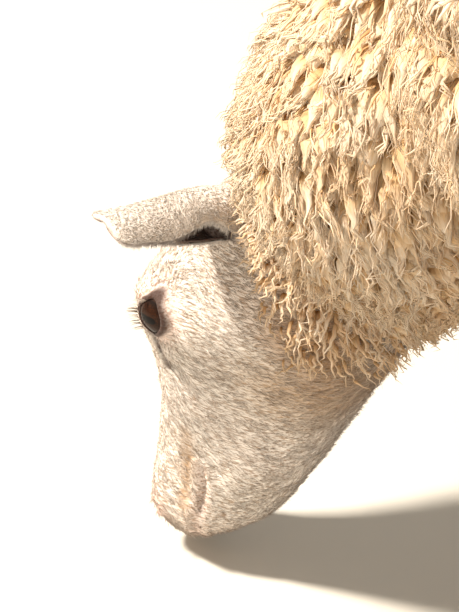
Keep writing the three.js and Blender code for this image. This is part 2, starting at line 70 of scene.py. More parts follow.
HEAD_TOP = [
    [-40, -20], [0, 2], [28, 22], [50, 35], [74, 42], [98, 42], [126, 35], [154, 28],
    [182, 22], [208, 16], [228, 10], [252, 2],
]
HEAD_BOTTOM = [
    [-40, -72], [0, -84], [34, -92], [64, -93], [100, -88], [136, -80], [160, -74],
    [182, -68], [205, -62], [230, -54], [252, -46],
]
HEAD_BROW = [
    [-40, 22], [0, 26], [28, 31], [50, 35], [69, 39], [84, 45], [96, 47], [110, 43],
    [126, 37], [154, 24], [182, 17], [208, 15], [230, 17], [252, 14],
]
HEAD_SIDE = [
    [-40, 36], [0, 44], [30, 48], [60, 50], [86, 53], [100, 53], [120, 47], [140, 39],
    [164, 32], [200, 27], [230, 27], [252, 22],
]
HEAD_CHEEK = [
    [-40, 42], [0, 48], [30, 52], [60, 53], [90, 51], [122, 43], [160, 34], [200, 29],
    [230, 28], [252, 24],
]
HEAD_JAW = [
    [-40, 32], [0, 36], [30, 39], [64, 38], [100, 34], [136, 28], [170, 24], [205, 21],
    [230, 20], [252, 16],
]
HEAD_LEVELS = [(HEAD_BROW, 0.08), (HEAD_SIDE, 0.28), (HEAD_CHEEK, 0.56), (HEAD_JAW, 0.89)]
HEAD_BUMPS = [  # u, v, w, size, height
    (92, 36, 48, 13, 3.4), (114, 30, 42, 10, 2.2), (96, 2, 54, 15, 2.6), (60, -36, 54, 28, 4.0),
    (20, 0, 46, 19, 6.0), (234, 0, 24, 9, 3.0), (226, -28, 27, 10, 2.0), (228, -54, 8, 13, 2.0),
    (132, 6, 44, 13, -3.5), (186, -18, 30, 20, -2.5),
]

SECTION_POINTS = 2 + 2 * len(HEAD_LEVELS)
SKIN_LIFT = 0.8  # the head's skin past its bare section
JAW_HOLLOW_DEPTH, JAW_HOLLOW_V, JAW_HOLLOW_SIZE = 4.0, -88.0, 16.0  # between the jawbones

EYE_PLACE = np.array([94.0, 15.5, 47.0])
EYE_RADIUS = 14.0
EAR_ROOT = (20.0, 1.5, 40.0)
EAR_LENGTH = 98.0
EAR_HALF_WIDTH = [
    [0, 45], [0.12, 40], [0.35, 30.5], [0.5, 26.5], [0.65, 20.5], [0.8, 16.5], [0.9, 15],
    [0.955, 13], [0.982, 10], [0.995, 6.5], [1, 3.5],
]
EAR_TURN = [
    [0, 352], [0.1, 340], [0.2, 304], [0.3, 272], [0.45, 222], [0.6, 172], [0.8, 116], [1, 80],
]
EAR_TWIST = [
    [0, -14], [0.1, -14], [0.3, -12], [0.4, -2], [0.5, 20], [0.62, 46], [0.8, 56], [1, 60],
]
EAR_DROOP = 6.0
EAR_DIRECTION = np.array([0.925, -0.108, 0.392])
EAR_OPENING = np.array([0.32, 0.65, -0.68])
EAR_SKIN = 2.4  # the bare leaf's thickness

COAT_BACK, COAT_SIDE, COAT_BELLY = 62.0, 68.0, 44.0
TRUNK_FRONT, TRUNK_REAR = -300.0, 398.0
TRUNK_CHEST, TRUNK_RUMP = 120.0, 92.0  # lengths over which the trunk's ends close
TRUNK_SQUARENESS = 0.82  # 1 is an ellipse
TRUNK_END_COAT = 0.92  # depth of the fleece on the ends, as a share of its sides'
TRUNK_TOP = [
    [-300, 520], [-230, 600], [-150, 648], [-40, 654], [100, 650], [230, 658], [320, 642],
    [398, 592],
]
TRUNK_BOTTOM = [
    [-300, 392], [-235, 352], [-150, 332], [0, 328], [130, 338], [250, 372], [330, 420],
    [398, 465],
]
TRUNK_WIDTH = [
    [-300, 96], [-230, 116], [-120, 136], [20, 152], [140, 154], [250, 140], [330, 122],
    [398, 98],
]
# y, z, slope, half-depth, half-width, then the fleece over the nape, throat and sides
NECK = [
    [0, -140, 500, 20, 148, 96, 58, 44, 60],
    [1, -210, 458, 33, 118, 92, 60, 48, 62],
    [2, -272, 406, 43, 86, 80, 60, 46, 60],
    [3, -328, 348, 47, 64, 68, 58, 42, 60],
    [4, -380, 288, 50, 53, 57, 54, 36, 52],
    [5, -418, 246, 57, 46, 48, 38, 34, 28],
    [6, -434, 220, 60, 42, 44, 14, 32, 4],
    [7, -446, 190, 62, 34, 32, 0, 0, 0],
]
# place along, y, z, radius of the coat
TAIL = [[0, 405, 618, 30], [0.3, 446, 590, 36], [0.65, 468, 520, 37], [1, 466, 436, 26]]
TAIL_BONE, TAIL_FLATNESS = 12.0, 0.8
# height, half-width, half-depth, shift fore or aft, coat
FORE_LEG = [
    [412, 34, 54, 18, 30], [350, 31, 46, 10, 34], [300, 27, 37, 4, 28], [262, 23, 29, 0, 16],
    [232, 21.5, 25, -2, 6], [208, 21, 23.5, -2, 4], [182, 15.5, 18, 1, 3], [140, 12.5, 15, 2, 3],
    [104, 13.5, 17, 1, 3], [80, 17.5, 21, 1, 4], [56, 14.5, 17, -7, 3], [37, 18.5, 21.5, -15, 3],
]
HIND_LEG = [
    [480, 46, 92, -62, 34], [420, 43, 78, -40, 38], [360, 35, 56, -8, 34], [312, 26, 41, 24, 22],
    [282, 21, 33, 40, 10], [256, 19, 29, 46, 5], [226, 15.5, 21, 39, 3], [160, 13, 16, 20, 3],
    [108, 14, 17, 7, 3], [80, 17.5, 21, 1, 4], [56, 14.5, 17, -7, 3], [37, 18.5, 21.5, -15, 3],
]
FETLOCK = 80.0  # the leg is upright below this height
LEG_LEAN = 0.08  # how much nearer the middle the leg's root is, as a share of the foot's x
LEG_SKIN = 0.25  # the legs' skin, as a share of the coat's depth
LEGS = {  # foot x and y, table, root's y, height where wool gives way to hair
    "front_left": (88.0, -178.0, FORE_LEG, -215.0, 236.0),
    "front_right": (-88.0, -262.0, FORE_LEG, -235.0, 236.0),
    "hind_left": (92.0, 338.0, HIND_LEG, 350.0, 286.0),
    "hind_right": (-92.0, 392.0, HIND_LEG, 372.0, 286.0),
}
CLAW_RINGS = [  # height, toe ahead of the fetlock, heel behind it, width
    [0, 52, -14, 20], [3, 51, -15, 21], [18, 42, -13, 20.5], [30, 35, -8, 18.5], [36, 30, -3, 15],
]


# ---- curves ------------------------------------------------------------------------------


def hermite(s):
    """Weights of a cubic's start, the slope there, its end and the slope there, at share s."""
    return 2 * s**3 - 3 * s**2 + 1, s**3 - 2 * s**2 + s, 3 * s**2 - 2 * s**3, s**3 - s**2


def along(knots, x, column=1):
    """Cubic Hermite curve through the knots, each knot's slope that of its neighbours' line."""
    table = np.asarray(knots, float)
    if table[0, 0] > table[-1, 0]:
        table = table[::-1]
    places, values = table[:, 0], table[:, column]
    before = np.maximum(np.arange(len(places)) - 1, 0)
    after = np.minimum(np.arange(len(places)) + 1, len(places) - 1)
    slope = (values[after] - values[before]) / (places[after] - places[before])
    x = np.clip(x, places[0], places[-1])
    i = np.clip(np.searchsorted(places, x) - 1, 0, len(places) - 2)
    step = places[i + 1] - places[i]
    start, leave, end, arrive = hermite((x - places[i]) / step)
    curve = start * values[i] + leave * step * slope[i]
    return curve + end * values[i + 1] + arrive * step * slope[i + 1]


def ramp(start, end, x):
    """Rises smoothly from 0 at start to 1 at end: 3t^2 - 2t^3."""
    t = np.clip((x - start) / (end - start), 0, 1)
    return t * t * (3 - 2 * t)


def closing(x, start, end):
    """Quarter ellipse that closes a loft: sqrt(1 - t^2), 1 up to start and 0 at end."""
    t = np.clip((x - start) / (end - start), 0, 1)
    return np.sqrt(np.maximum(0, 1 - t * t))


def bump(distance, size):
    """A round bump, exp(-(distance / size)^2)."""
    return np.exp(-((distance / size) ** 2))


def unit(vectors):
    """Vectors divided by their lengths."""
    return vectors / np.maximum(np.linalg.norm(vectors, axis=-1, keepdims=True), 1e-9)


def dot(a, b):
    """Dot product along the last axis, kept as an axis."""
    return np.sum(a * b, axis=-1, keepdims=True)


def flat_on(vectors, normal):
    """The part of each vector that lies at right angles to the normal, made unit length."""
    return unit(vectors - normal * dot(vectors, normal))


def mirrored(head):
    """Points of u, v, w with those of the right side moved to the left one."""
    return np.concatenate([head[..., :2], np.abs(head[..., 2:])], -1)


def swell(points, scale):
    """Soft lumps from -1 to 1: products of sines of the place over the scale, bent by each other."""
    x, y, z = (points[..., k] / scale for k in range(3))
    return 0.5 * np.sin(x + 1.7 * np.sin(z * 0.7)) * np.sin(y * 1.1 + z * 0.6) + 0.5 * np.sin(
        z * 1.3 + y * 0.5 + 1.3 * np.sin(x * 0.9)
    )


def from_head(u, v, w):
    """A point of the head's frame in the maker's frame: origin + u axis + v dorsal + w left."""
    u, v, w = (np.asarray(k, float)[..., None] for k in (u, v, w))
    return HEAD_ORIGIN + u * AXIS + v * DORSAL + w * LEFT


def placed(head, side=1):
    """Rows of u, v and w in the maker's frame, on the other side of the head if side is -1."""
    return from_head(head[..., 0], head[..., 1], side * head[..., 2])


def to_head(points):
    """The maker's frame to u, v and w: the place past the head's origin on its three axes."""
    past = points - HEAD_ORIGIN
    return past @ AXIS, past @ DORSAL, past @ LEFT


# The two frames differ by a shift, found from the middle of the left eye.
_low, _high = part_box("eye_left")
SHIFT = (np.array(_low) + np.array(_high)) * 500 - from_head(*EYE_PLACE)


def as_metres(points):
    """Millimetres of the maker's frame to metres of the row frame."""
    return (points + SHIFT) / 1000


def from_metres(points):
    """Metres of the row frame to millimetres of the maker's frame."""
    return points * 1000 - SHIFT


HEAD_AXES = np.stack([AXIS, DORSAL, LEFT])
EAR_AXIS = unit(EAR_DIRECTION)
EAR_FACING = flat_on(EAR_OPENING, EAR_AXIS)
EAR_ACROSS = np.cross(EAR_AXIS, EAR_FACING)

VIEW_BACK = np.array([0.682, 0.533, 0.5])  # from the subject to the camera
VIEW_RIGHT = np.array([-0.616, 0.788, 0.0])
VIEW_TARGET = as_metres(from_head(96.4, 21.7, 47.0)) + VIEW_RIGHT * 0.038  # beside the left eye


# ---- the head's surface ------------------------------------------------------------------

GAZE = unit(np.array([0.10, 0.16, 0.98]))  # the way the eye faces, as u, v, w
SLIT = flat_on(np.array([1.0, -0.18, 0.0]), GAZE)  # back corner to tear duct
LID_UP = np.cross(GAZE, SLIT) * np.sign(np.cross(GAZE, SLIT)[1])
LEVEL = flat_on(np.array([-0.309, -0.951, 0.0]), GAZE)  # the horizon, seen in the eye
LID_LENGTH, LID_UPPER, LID_LOWER = 10.8, 8.2, 8.2  # half-length and half-heights
LID_NARROWING = 0.34  # the share of its height that the slit loses at its corners
# Round the eye, e is 1 on the edge of the lids and grows outwards.
LID_END, LID_FADE = 3.4, 2.6  # where the lids end, and where they start to fade into the head
LID_EDGE = 0.055  # corners of the mesh this near the edge are moved onto it
LID_FLOOR = -3.4  # the skin inside the slit, from the eyeball's surface
LID_RISES = [(0.9, 0.995, 3.9), (0.99, 1.2, 0.9), (1.35, 2.3, -3.2)]  # from e, to e, rise
LID_CREASES = [(1.62, 0.13, 1.3), (1.5, 0.12, 0.8), (2.05, 0.14, 0.6)]  # e, half-width, depth
LID_BLEND = 1.1  # radius of the join of lids and head

# Lines of u, v and w on the left side of the head.
TEAR_LINE = [
    (105, 17, 54.5), (110, 19, 51.5), (117, 16.5, 47.5), (126, 12.5, 43.6), (135, 9.5, 38.5),
]
NOSTRIL_LINE = [(250, -9, 8), (252, -3, 13), (247, 1, 19), (240, 0, 24), (236, -4, 26)]
MOUTH_LINE = [(190, -24, 29), (200, -29, 28), (216, -31, 28), (236, -30, 24), (262, -25, 0)]
CHEEK_LINE = [(203, -4, 28), (209, -14, 29), (213, -24, 29)]
STAIN_LINE = [(174, -10, 30), (198, -16, 28), (218, -22, 28)]
LIP_LINE = [(187, -16, 31), (182, -26, 32), (186, -34, 30)]
MIDDLE_LINE = [(246, 2, 0), (252, -8, 0), (254, -24, 0)]
CREASES = [  # line, distance from it, half-width, height
    (TEAR_LINE, 0, 2.6, -1.5), (NOSTRIL_LINE, 0, 2.3, -5.0), (NOSTRIL_LINE, 5.2, 2.2, 1.3),
    (MOUTH_LINE, 0, 1.5, -2.6), (MOUTH_LINE, 5.5, 3.0, 1.1), (CHEEK_LINE, 0, 2.6, -1.6),
    (LIP_LINE, 0, 2.4, -1.0), (MIDDLE_LINE, 0, 1.6, -1.4),
]


def to_line(points, line):
    """Distance of each point to a polyline: the least over its straight pieces."""
    nearest = np.full(points.shape[:-1], 1e9)
    for a, b in zip(np.array(line[:-1], float), np.array(line[1:], float)):
        t = np.clip(((points - a) @ (b - a)) / ((b - a) @ (b - a)), 0, 1)
        nearest = np.minimum(nearest, np.linalg.norm(points - a - t[..., None] * (b - a), axis=-1))
    return nearest


def lid_frame(points):
    """Each point seen from its own side's eye: x along the slit, y to the brow, z outwards, and e.

    e is 1 on the edge of the lids: the length of (x / half-length, y / half-height), where the
    half-height shrinks by a third towards the corners."""
    offset = mirrored(points) - EYE_PLACE
    x, y, z = offset @ SLIT, offset @ LID_UP, offset @ GAZE
    height = np.where(y > 0, LID_UPPER, LID_LOWER)
    height = height * (1 - LID_NARROWING * np.clip((x / LID_LENGTH) ** 2, 0, 1))
    return x, y, z, np.hypot(x / LID_LENGTH, y / height)


def section(u, t):
    """Point t of the head's section at u: a closed Catmull-Rom curve through its ten points.

    The section is drawn in towards its middle as the muzzle closes, and pushed outwards from
    the middle by the skin's lift and by the sum of the head's round bumps."""
    u, t = np.broadcast_arrays(np.asarray(u, float), np.asarray(t, float))
    top, bottom = along(HEAD_TOP, u), along(HEAD_BOTTOM, u)
    close = closing(u, MUZZLE_START, HEAD_LENGTH)
    middle = (top + bottom) / 2
    widths = [along(knots, u) for knots, _ in HEAD_LEVELS]
    heights = [top - level * (top - bottom) for _, level in HEAD_LEVELS]
    nothing = np.zeros_like(u)
    w_points = np.stack([nothing, *widths, nothing, *[-k for k in widths[::-1]]])
    v_points = np.stack([top, *heights, bottom, *heights[::-1]])
    place = (t % 1) * SECTION_POINTS
    i = np.floor(place).astype(int) % SECTION_POINTS
    start, leave, end, arrive = hermite(place - np.floor(place))

    def curve(points):
        a, b, c, d = (
            np.take_along_axis(points, ((i + k) % SECTION_POINTS)[None], 0)[0] for k in (-1, 0, 1, 2)
        )
        return start * b + leave * (c - a) / 2 + end * c + arrive * (d - b) / 2

    w = curve(w_points * close)
    v = curve(middle + (v_points - middle) * close)
    out = unit(np.stack([w, v - middle], -1))
    hollow = bump(np.hypot(v - JAW_HOLLOW_V, w), JAW_HOLLOW_SIZE)
    grow = -JAW_HOLLOW_DEPTH * hollow * ramp(70, 120, u)
    for a, b, c, size, height in HEAD_BUMPS:
        distance = np.sqrt((u - a) ** 2 + (v - b) ** 2 + (np.abs(w) - c) ** 2)
        grow = grow + height * bump(distance, size)
    full = np.minimum(1, 3 * close)
    grow = grow * full + SKIN_LIFT * np.maximum(close, full)
    w, v = w + out[..., 0] * grow, v + out[..., 1] * grow
    slant = MUZZLE_SLANT * (v - middle) * ramp(MUZZLE_START - 50, HEAD_LENGTH, u)
    return np.stack([u + slant + SKIN_LIFT * ramp(MUZZLE_START, HEAD_LENGTH, u), v, w], -1)


def across_faces(function, u, t):
    """Outward normal of a surface: the cross product of its two slopes, by small steps."""
    return -unit(
        np.cross(
            function(u + 0.4, t) - function(u - 0.4, t),
            function(u, t + 0.001) - function(u, t - 0.001),
        )
    )


def creased(points, normal):
    """The head with its creases: each is its height times a bump of the distance to its line.

    Fine wrinkles on the lips and soft folds everywhere are added to them."""
    left = mirrored(points)
    lift = 0
    for line, beside, width, height in CREASES:
        lift = lift + height * bump(to_line(left, line) - beside, width)
    u, v = points[..., 0], points[..., 1]
    wrinkle = np.sin(u * 0.9 + 1.6 * np.sin(v * 0.21)) * ramp(196, 224, u) * 0.22
    folds = 0.45 * swell(points, 7.0) + 0.25 * swell(points[..., ::-1], 3.1)
    return points + normal * (lift + wrinkle + folds)[..., None]


def lidded(points):
    """The head with its lids: round the eye, the skin rises to a shell just over the eyeball.

    Inside the slit it dives behind the eyeball, at the slit it stands up as a margin, and
    outside it is the smooth greater of the shell and the head, with creases in it."""
    x, y, z, e = lid_frame(points)
    near = (z > -4) & (e < LID_END)
    snap = np.where(np.abs(e - 1) < LID_EDGE, 1 / np.maximum(e, 0.5), 1)
    x, y, e = x * snap, y * snap, e * snap
    over = LID_FLOOR
    for start, end, rise in LID_RISES:
        over = over + rise * ramp(start, end, e)
    shell = np.sqrt(np.maximum((EYE_RADIUS + over) ** 2 - x**2 - y**2, 0))
    high = np.maximum(shell, z) + LID_BLEND * np.exp(-np.abs(shell - z) / LID_BLEND) * 0.5
    upper = ramp(-2, 3, y)
    crease = 0
    for share, (place, width, depth) in zip((upper, 1 - upper, 1), LID_CREASES):
        crease = crease + depth * share * bump(e - place, width)
    outside = np.where(e < 1, shell, high - crease)
    moved = x[..., None] * SLIT + y[..., None] * LID_UP + outside[..., None] * GAZE + EYE_PLACE
    fade = (ramp(LID_END, LID_FADE, e) * near)[..., None]
    moved[..., 2:] *= np.where(points[..., 2:] < 0, -1.0, 1.0)
    return points * (1 - fade) + moved * fade


def face(u, t):
    """The head's skin as u, v, w: the section, then its creases, then the lids."""
    u, t = np.broadcast_arrays(np.asarray(u, float), np.asarray(t, float))
    return lidded(creased(section(u, t), across_faces(section, u, t)))


def crowded(count, low, high, places, width, gain):
    """Places from low to high, denser by the gain near each given place, by equal shares."""
    x = np.linspace(low, high, 4000)
    weight = 1 + sum(gain * bump(x - place, width) for place in places)
    share = np.concatenate([[0], np.cumsum((weight[1:] + weight[:-1]) / 2)])
    return np.interp(np.linspace(0, share[-1], count), share, x)


# ---- the other surfaces ------------------------------------------------------------------


def trunk(b, a, fleece):
    """The trunk: a squared ellipse at each y, closed at both ends, out to the share of the fleece.

    b runs from chest to rump with stations crowding to the ends, and a goes round from the back."""
    a, t = np.broadcast_arrays(2 * np.pi * np.asarray(a, float), (1 - np.cos(np.pi * b)) / 2)
    y = TRUNK_FRONT + (TRUNK_REAR - TRUNK_FRONT) * t
    ends = closing(y, TRUNK_FRONT + TRUNK_CHEST, TRUNK_FRONT)
    ends = ends * closing(y, TRUNK_REAR - TRUNK_RUMP, TRUNK_REAR)
    top, bottom, width = along(TRUNK_TOP, y), along(TRUNK_BOTTOM, y), along(TRUNK_WIDTH, y)
    c, s = np.cos(a), np.sin(a)
    coat = np.where(c > 0, COAT_BACK, COAT_BELLY) * np.abs(c) + COAT_SIDE * np.abs(s)
    coat = coat * fleece
    half = (top - bottom) / 2
    across, upward = (np.sign(k) * np.abs(k) ** TRUNK_SQUARENESS for k in (s, c))
    x = across * (width + coat * np.abs(s)) * ends
    z = (top + bottom) / 2 + upward * (half + coat * np.abs(c)) * ends
    stretch = fleece * COAT_SIDE * TRUNK_END_COAT * (2 * t - 1) * np.abs(2 * t - 1)
    return np.stack([x, y + stretch, z], -1)


def neck(b, a, fleece):
    """The neck: an ellipse across a sloping middle line, deeper over the nape than the throat."""
    k, a = np.broadcast_arrays(np.asarray(b, float) * (len(NECK) - 1), 2 * np.pi * np.asarray(a))
    y, z, slope, depth, width, nape, throat, side = (along(NECK, k, n) for n in range(1, 9))
    c, s, pitch = np.cos(a), np.sin(a), np.radians(slope)
    up = c * (depth + np.where(c > 0, nape, throat) * fleece)
    return np.stack(
        [s * (width + side * fleece), y - np.sin(pitch) * up, z + np.cos(pitch) * up], -1
    )


def tail(b, a, fleece):
    """The tail: a flattened tube along its hanging middle line, rounded at its end."""
    t, a = np.broadcast_arrays(np.asarray(b, float), 2 * np.pi * np.asarray(a))

    def middle(t):
        return np.stack([0 * t, along(TAIL, t, 1), along(TAIL, t, 2)], -1)

    ahead = unit(middle(t + 0.02) - middle(t - 0.02))
    up = np.stack([0 * t, -ahead[..., 2], ahead[..., 1]], -1)
    radius = (along(TAIL, t, 3) * fleece + TAIL_BONE * (1 - fleece)) * closing(t, 0.72, 1.01)
    ring = TAIL_FLATNESS * np.cos(a)[..., None] * up + np.sin(a)[..., None] * LEFT
    return middle(t) + radius[..., None] * ring


def leg(name, z, a, fleece):
    """A leg: at each height an ellipse about a middle that swings from the foot to its root."""
    foot_x, foot_y, table, root, _ = LEGS[name]
    z, a = np.broadcast_arrays(np.asarray(z, float), 2 * np.pi * np.asarray(a))
    swing = ramp(FETLOCK, table[0][0], z)
    coat = along(table, z, 4) * fleece
    x = foot_x * (1 - LEG_LEAN * swing) + (along(table, z, 1) + coat) * np.sin(a)
    y = foot_y + (root - foot_y) * swing + along(table, z, 3)
    return np.stack([x, y + (along(table, z, 2) + coat) * np.cos(a), z], -1)


def ear_lines(t):
    """The leaf at t: its radius, its turn and the ways its hollow and its edge face."""
    turn = np.radians(along(EAR_TURN, t))
    twist = np.radians(along(EAR_TWIST, t))[..., None]
    hollow = EAR_FACING * np.cos(twist) - EAR_ACROSS * np.sin(twist)
    edge = EAR_ACROSS * np.cos(twist) + EAR_FACING * np.sin(twist)
    return 2 * along(EAR_HALF_WIDTH, t) / turn, turn, hollow, edge


def ear(t, q, offset, side):
    """An ear: an arc across the leaf whose turn opens and whose hollow twists from root to tip.

    q runs across from -0.5 to 0.5, and the offset is how far outside the leaf's middle sheet
    the point lies."""
    t, q = np.broadcast_arrays(np.asarray(t, float), np.asarray(q, float))
    radius, turn, hollow, edge = ear_lines(t)
    middle = from_head(*EAR_ROOT) + t[..., None] * EAR_LENGTH * EAR_AXIS
    middle = middle - np.stack([0 * t, 0 * t, EAR_DROOP * t * t], -1)
    outer = radius + offset
    rise = radius * ramp(0.15, 1, t) - outer * np.cos(q * turn)
    points = middle + rise[..., None] * hollow + (outer * np.sin(q * turn))[..., None] * edge
    return points * [side, 1, 1]


# ---- meshes ------------------------------------------------------------------------------


def loft(rings, fan=True):
    """A closed surface through rings: quads between them, and fans or strips over the ends."""
    rows, count = rings.shape[:2]
    index = np.arange(rows * count).reshape(rows, count)
    around = np.roll(index, -1, axis=1)
    quads = np.stack([index[:-1], around[:-1], around[1:], index[1:]], -1).reshape(-1, 4)
    points = rings.reshape(-1, 3)
    if fan:
        points = np.concatenate([points, [rings[0].mean(0)], [rings[-1].mean(0)]])
        ends = np.concatenate(
            [
                np.stack([around[0], index[0], np.full(count, rows * count)], -1),
                np.stack([index[-1], around[-1], np.full(count, rows * count + 1)], -1),
            ]
        )
        return {"points": points, "faces": [quads, ends]}
    j = np.arange(count // 2 - 1)
    strip = np.stack([j, count - 1 - j, count - 2 - j, j + 1], -1)
    return {"points": points, "faces": [quads, strip, strip[:, ::-1] + (rows - 1) * count]}


def tubes(paths, radii, reference, sides, thin=1.0, lobe=0.0):
    """Tapering tubes on many paths at once.

    Ring i of a tube is path_i + r_i (1 + lobe cos(sides q / 2)) (cos q across + thin sin q up),
    where across is the part of the reference at right angles to the path and up is tangent x
    across. The path's last point is the tip, and the first ring is closed by one face."""
    count, length = paths.shape[:2]
    rings = length - 1
    tangent = unit(np.gradient(paths, axis=1)[:, :rings])
    across = flat_on(np.broadcast_to(reference[:, None], tangent.shape), tangent)
    up = np.cross(tangent, across)
    q = 2 * np.pi * np.arange(sides) / sides
    ring = np.cos(q)[:, None] * across[:, :, None] + thin * np.sin(q)[:, None] * up[:, :, None]
    ring = ring * (1 + lobe * np.cos(sides * q / 2))[:, None]
    ring = paths[:, :rings, None] + radii[:, :, None, None] * ring
    points = np.concatenate([ring.reshape(count, -1, 3), paths[:, -1:]], axis=1)
    first = (np.arange(count) * (rings * sides + 1))[:, None, None]
    i = (np.arange(rings - 1) * sides)[None, :, None]
    j = np.arange(sides)[None, None, :]
    k = (j + 1) % sides
    low = first + i
    quads = np.stack([low + j, low + k, low + sides + k, low + sides + j], -1)
    last = first[:, 0] + (rings - 1) * sides
    tip = np.broadcast_to(first[:, 0] + rings * sides, (count, sides))
    tips = np.stack([last + j[0], last + k[0], tip], -1)
    roots = (first[:, 0] + np.arange(sides)[::-1][None]).reshape(-1, sides)
    step = np.arange(rings * sides + 1) // sides
    return {
        "points": points.reshape(-1, 3),
        "faces": [quads.reshape(-1, 4), tips.reshape(-1, 3), roots],
        "share": np.tile(step / rings, count),
        "owner": np.repeat(np.arange(count), rings * sides + 1),
        "round": np.tile(np.append(np.tile(q, rings), 0.0), count),
        "shape": (count, rings, sides),
    }


PATCH = 0.003  # size of a tube's patch of the unwrap


def patches(made, places):
    """OFBake coordinates of tubes: each one a small patch at its root's place."""
    _, rings, sides = made["shape"]
    j = np.arange(sides) / sides
    i = np.arange(rings - 1) / rings
    low, high = np.meshgrid(i, j, indexing="ij")
    right, above = high + 1 / sides, low + 1 / rings
    corners = [(high, low), (right, low), (right, above), (high, above)]
    quad = np.stack([np.stack(corner, -1) for corner in corners], -2).reshape(1, -1, 4, 2)
    top = 0 * j + (rings - 1) / rings
    corners = [(j, top), (j + 1 / sides, top), (j + 0.5 / sides, 0 * j + 1.0)]
    tip = np.stack([np.stack(corner, -1) for corner in corners], -2).reshape(1, -1, 3, 2)
    q = 2 * np.pi * np.arange(sides)[::-1] / sides
    root = (0.5 + 0.5 * np.stack([np.cos(q), np.sin(q)], -1)).reshape(1, 1, sides, 2) * [0.1, 0.1]
    origin = 0.002 + 0.992 * np.clip(places, 0, 1).reshape(-1, 1, 1, 2)
    return [(origin + PATCH * part).reshape(-1, part.shape[2], 2) for part in (quad, tip, root)]


def joined(parts):
    """Parts put together as one: points, faces, attributes and UVs end to end."""
    start = 0
    faces, uvs = [], []
    for part in parts:
        faces += [block + start for block in part["faces"]]
        uvs += part.get("uvs", [])
        start += len(part["points"])
    whole = {"points": np.concatenate([part["points"] for part in parts]), "faces": faces, "uvs": uvs}
    names = parts[0].get("values", {})
    whole["values"] = {n: np.concatenate([part["values"][n] for part in parts]) for n in names}
    return whole


def new_object(name, data):
    """A new object of the scene."""
    obj = bpy.data.objects.new(name, data)
    bpy.context.scene.collection.objects.link(obj)
    return obj


def new_mesh(name, part):
    """A mesh object from a part: corners, faces of several sizes, point attributes and UVs."""
    mesh = bpy.data.meshes.new(name)
    corners = np.concatenate([block.ravel() for block in part["faces"]]).astype(np.int32)
    sizes = np.concatenate([np.full(len(b), b.shape[1]) for b in part["faces"]])
    mesh.vertices.add(len(part["points"]))
    mesh.vertices.foreach_set("co", as_metres(part["points"]).astype(np.float32).ravel())
    mesh.loops.add(len(corners))
    mesh.loops.foreach_set("vertex_index", corners)
    mesh.polygons.add(len(sizes))
    starts = np.concatenate([[0], np.cumsum(sizes)[:-1]]).astype(np.int32)
    mesh.polygons.foreach_set("loop_start", starts)
    mesh.update(calc_edges=True)
    mesh.validate()
    mesh.polygons.foreach_set("use_smooth", np.ones(len(mesh.polygons), bool))
    write_values(mesh, part.get("values", {}))
    if part.get("uvs"):
        layer = mesh.uv_layers.new(name="OFBake")
        flat = np.concatenate([block.reshape(-1, 2) for block in part["uvs"]])
        layer.data.foreach_set("uv", flat.astype(np.float32).ravel())
    return new_object(name, mesh)


def write_values(mesh, values):
    """Writes each array as a point attribute: numbers as floats, triples as vectors."""
    for name, array in values.items():
        kind = "FLOAT" if array.ndim == 1 else "FLOAT_VECTOR"
        key = "value" if array.ndim == 1 else "vector"
        attribute = mesh.attributes.new(name, kind, "POINT")
        attribute.data.foreach_set(key, array.astype(np.float32).ravel())


def finish_piece(obj, material, nodes=()):
    """Gives a piece its material and slot, lets it ride on the body, and hides what it replaces."""
    obj.data.materials.clear()
    obj.data.materials.append(material)
    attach(obj, "root")
    if nodes:
        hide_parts(*nodes)
    return obj


# ---- colours and materials ---------------------------------------------------------------


def linear(text):
    """sRGB hex to linear red, green, blue and 1."""
    srgb = [int(text[i : i + 2], 16) / 255 for i in (1, 3, 5)]
    return tuple(k / 12.92 if k <= 0.04045 else ((k + 0.055) / 1.055) ** 2.4 for k in srgb) + (1.0,)


def add_node(tree, kind, links=None, **settings):
    """Adds a node with its settings; links give each input a value or another node's output."""
    node = tree.nodes.new(kind)
    for key, value in settings.items():
        setattr(node, key, value)
    for key, value in (links or {}).items():
        if isinstance(value, bpy.types.NodeSocket):
            tree.links.new(value, node.inputs[key])
        else:
            node.inputs[key].default_value = value
    return node


def new_material(name):
    """An empty node material and its tree."""
    material = bpy.data.materials.new(name)
    material.use_nodes = True
    material.node_tree.nodes.clear()
    return material, material.node_tree


def blended(tree, share, low, high):
    """Mixes two colours by a share and returns the mixed colour's socket."""
    mix = add_node(tree, "ShaderNodeMix", {0: share, 6: low, 7: high}, data_type="RGBA")
    return mix.outputs[2]


def between(tree, share, low, high):
    """Mixes two numbers by a share."""
    return add_node(tree, "ShaderNodeMix", {0: share, 2: low, 3: high}).outputs[0]


def solid(colour):
    """A colour setting as red, green, blue and 1."""
    return tuple(colour) + (1.0,)


def read(tree, name, socket="Fac"):
    """A point attribute's socket."""
    return add_node(tree, "ShaderNodeAttribute", attribute_name=name).outputs[socket]


def object_place(tree):
    """The place in metres, by the object's own axes."""
    return add_node(tree, "ShaderNodeTexCoord").outputs["Object"]


def split(tree, vector):
    """The three numbers of a vector."""
    node = add_node(tree, "ShaderNodeSeparateXYZ", {"Vector": vector})
    return [node.outputs[axis] for axis in "XYZ"]


def flat_vector(tree, x, y):
    """A vector of x, y and 0."""
    return add_node(tree, "ShaderNodeCombineXYZ", {"X": x, "Y": y}).outputs["Vector"]


def calculated(tree, operation, *values):
    """A sum of arithmetic on one or two numbers."""
    return add_node(tree, "ShaderNodeMath", dict(enumerate(values)), operation=operation).outputs[0]


def noise(tree, place, scale, detail):
    """Soft random numbers about a half, as many lumps to a unit of the place as the scale."""
    links = {"Vector": place, "Scale": scale, "Detail": detail}
    return add_node(tree, "ShaderNodeTexNoise", links).outputs["Fac"]


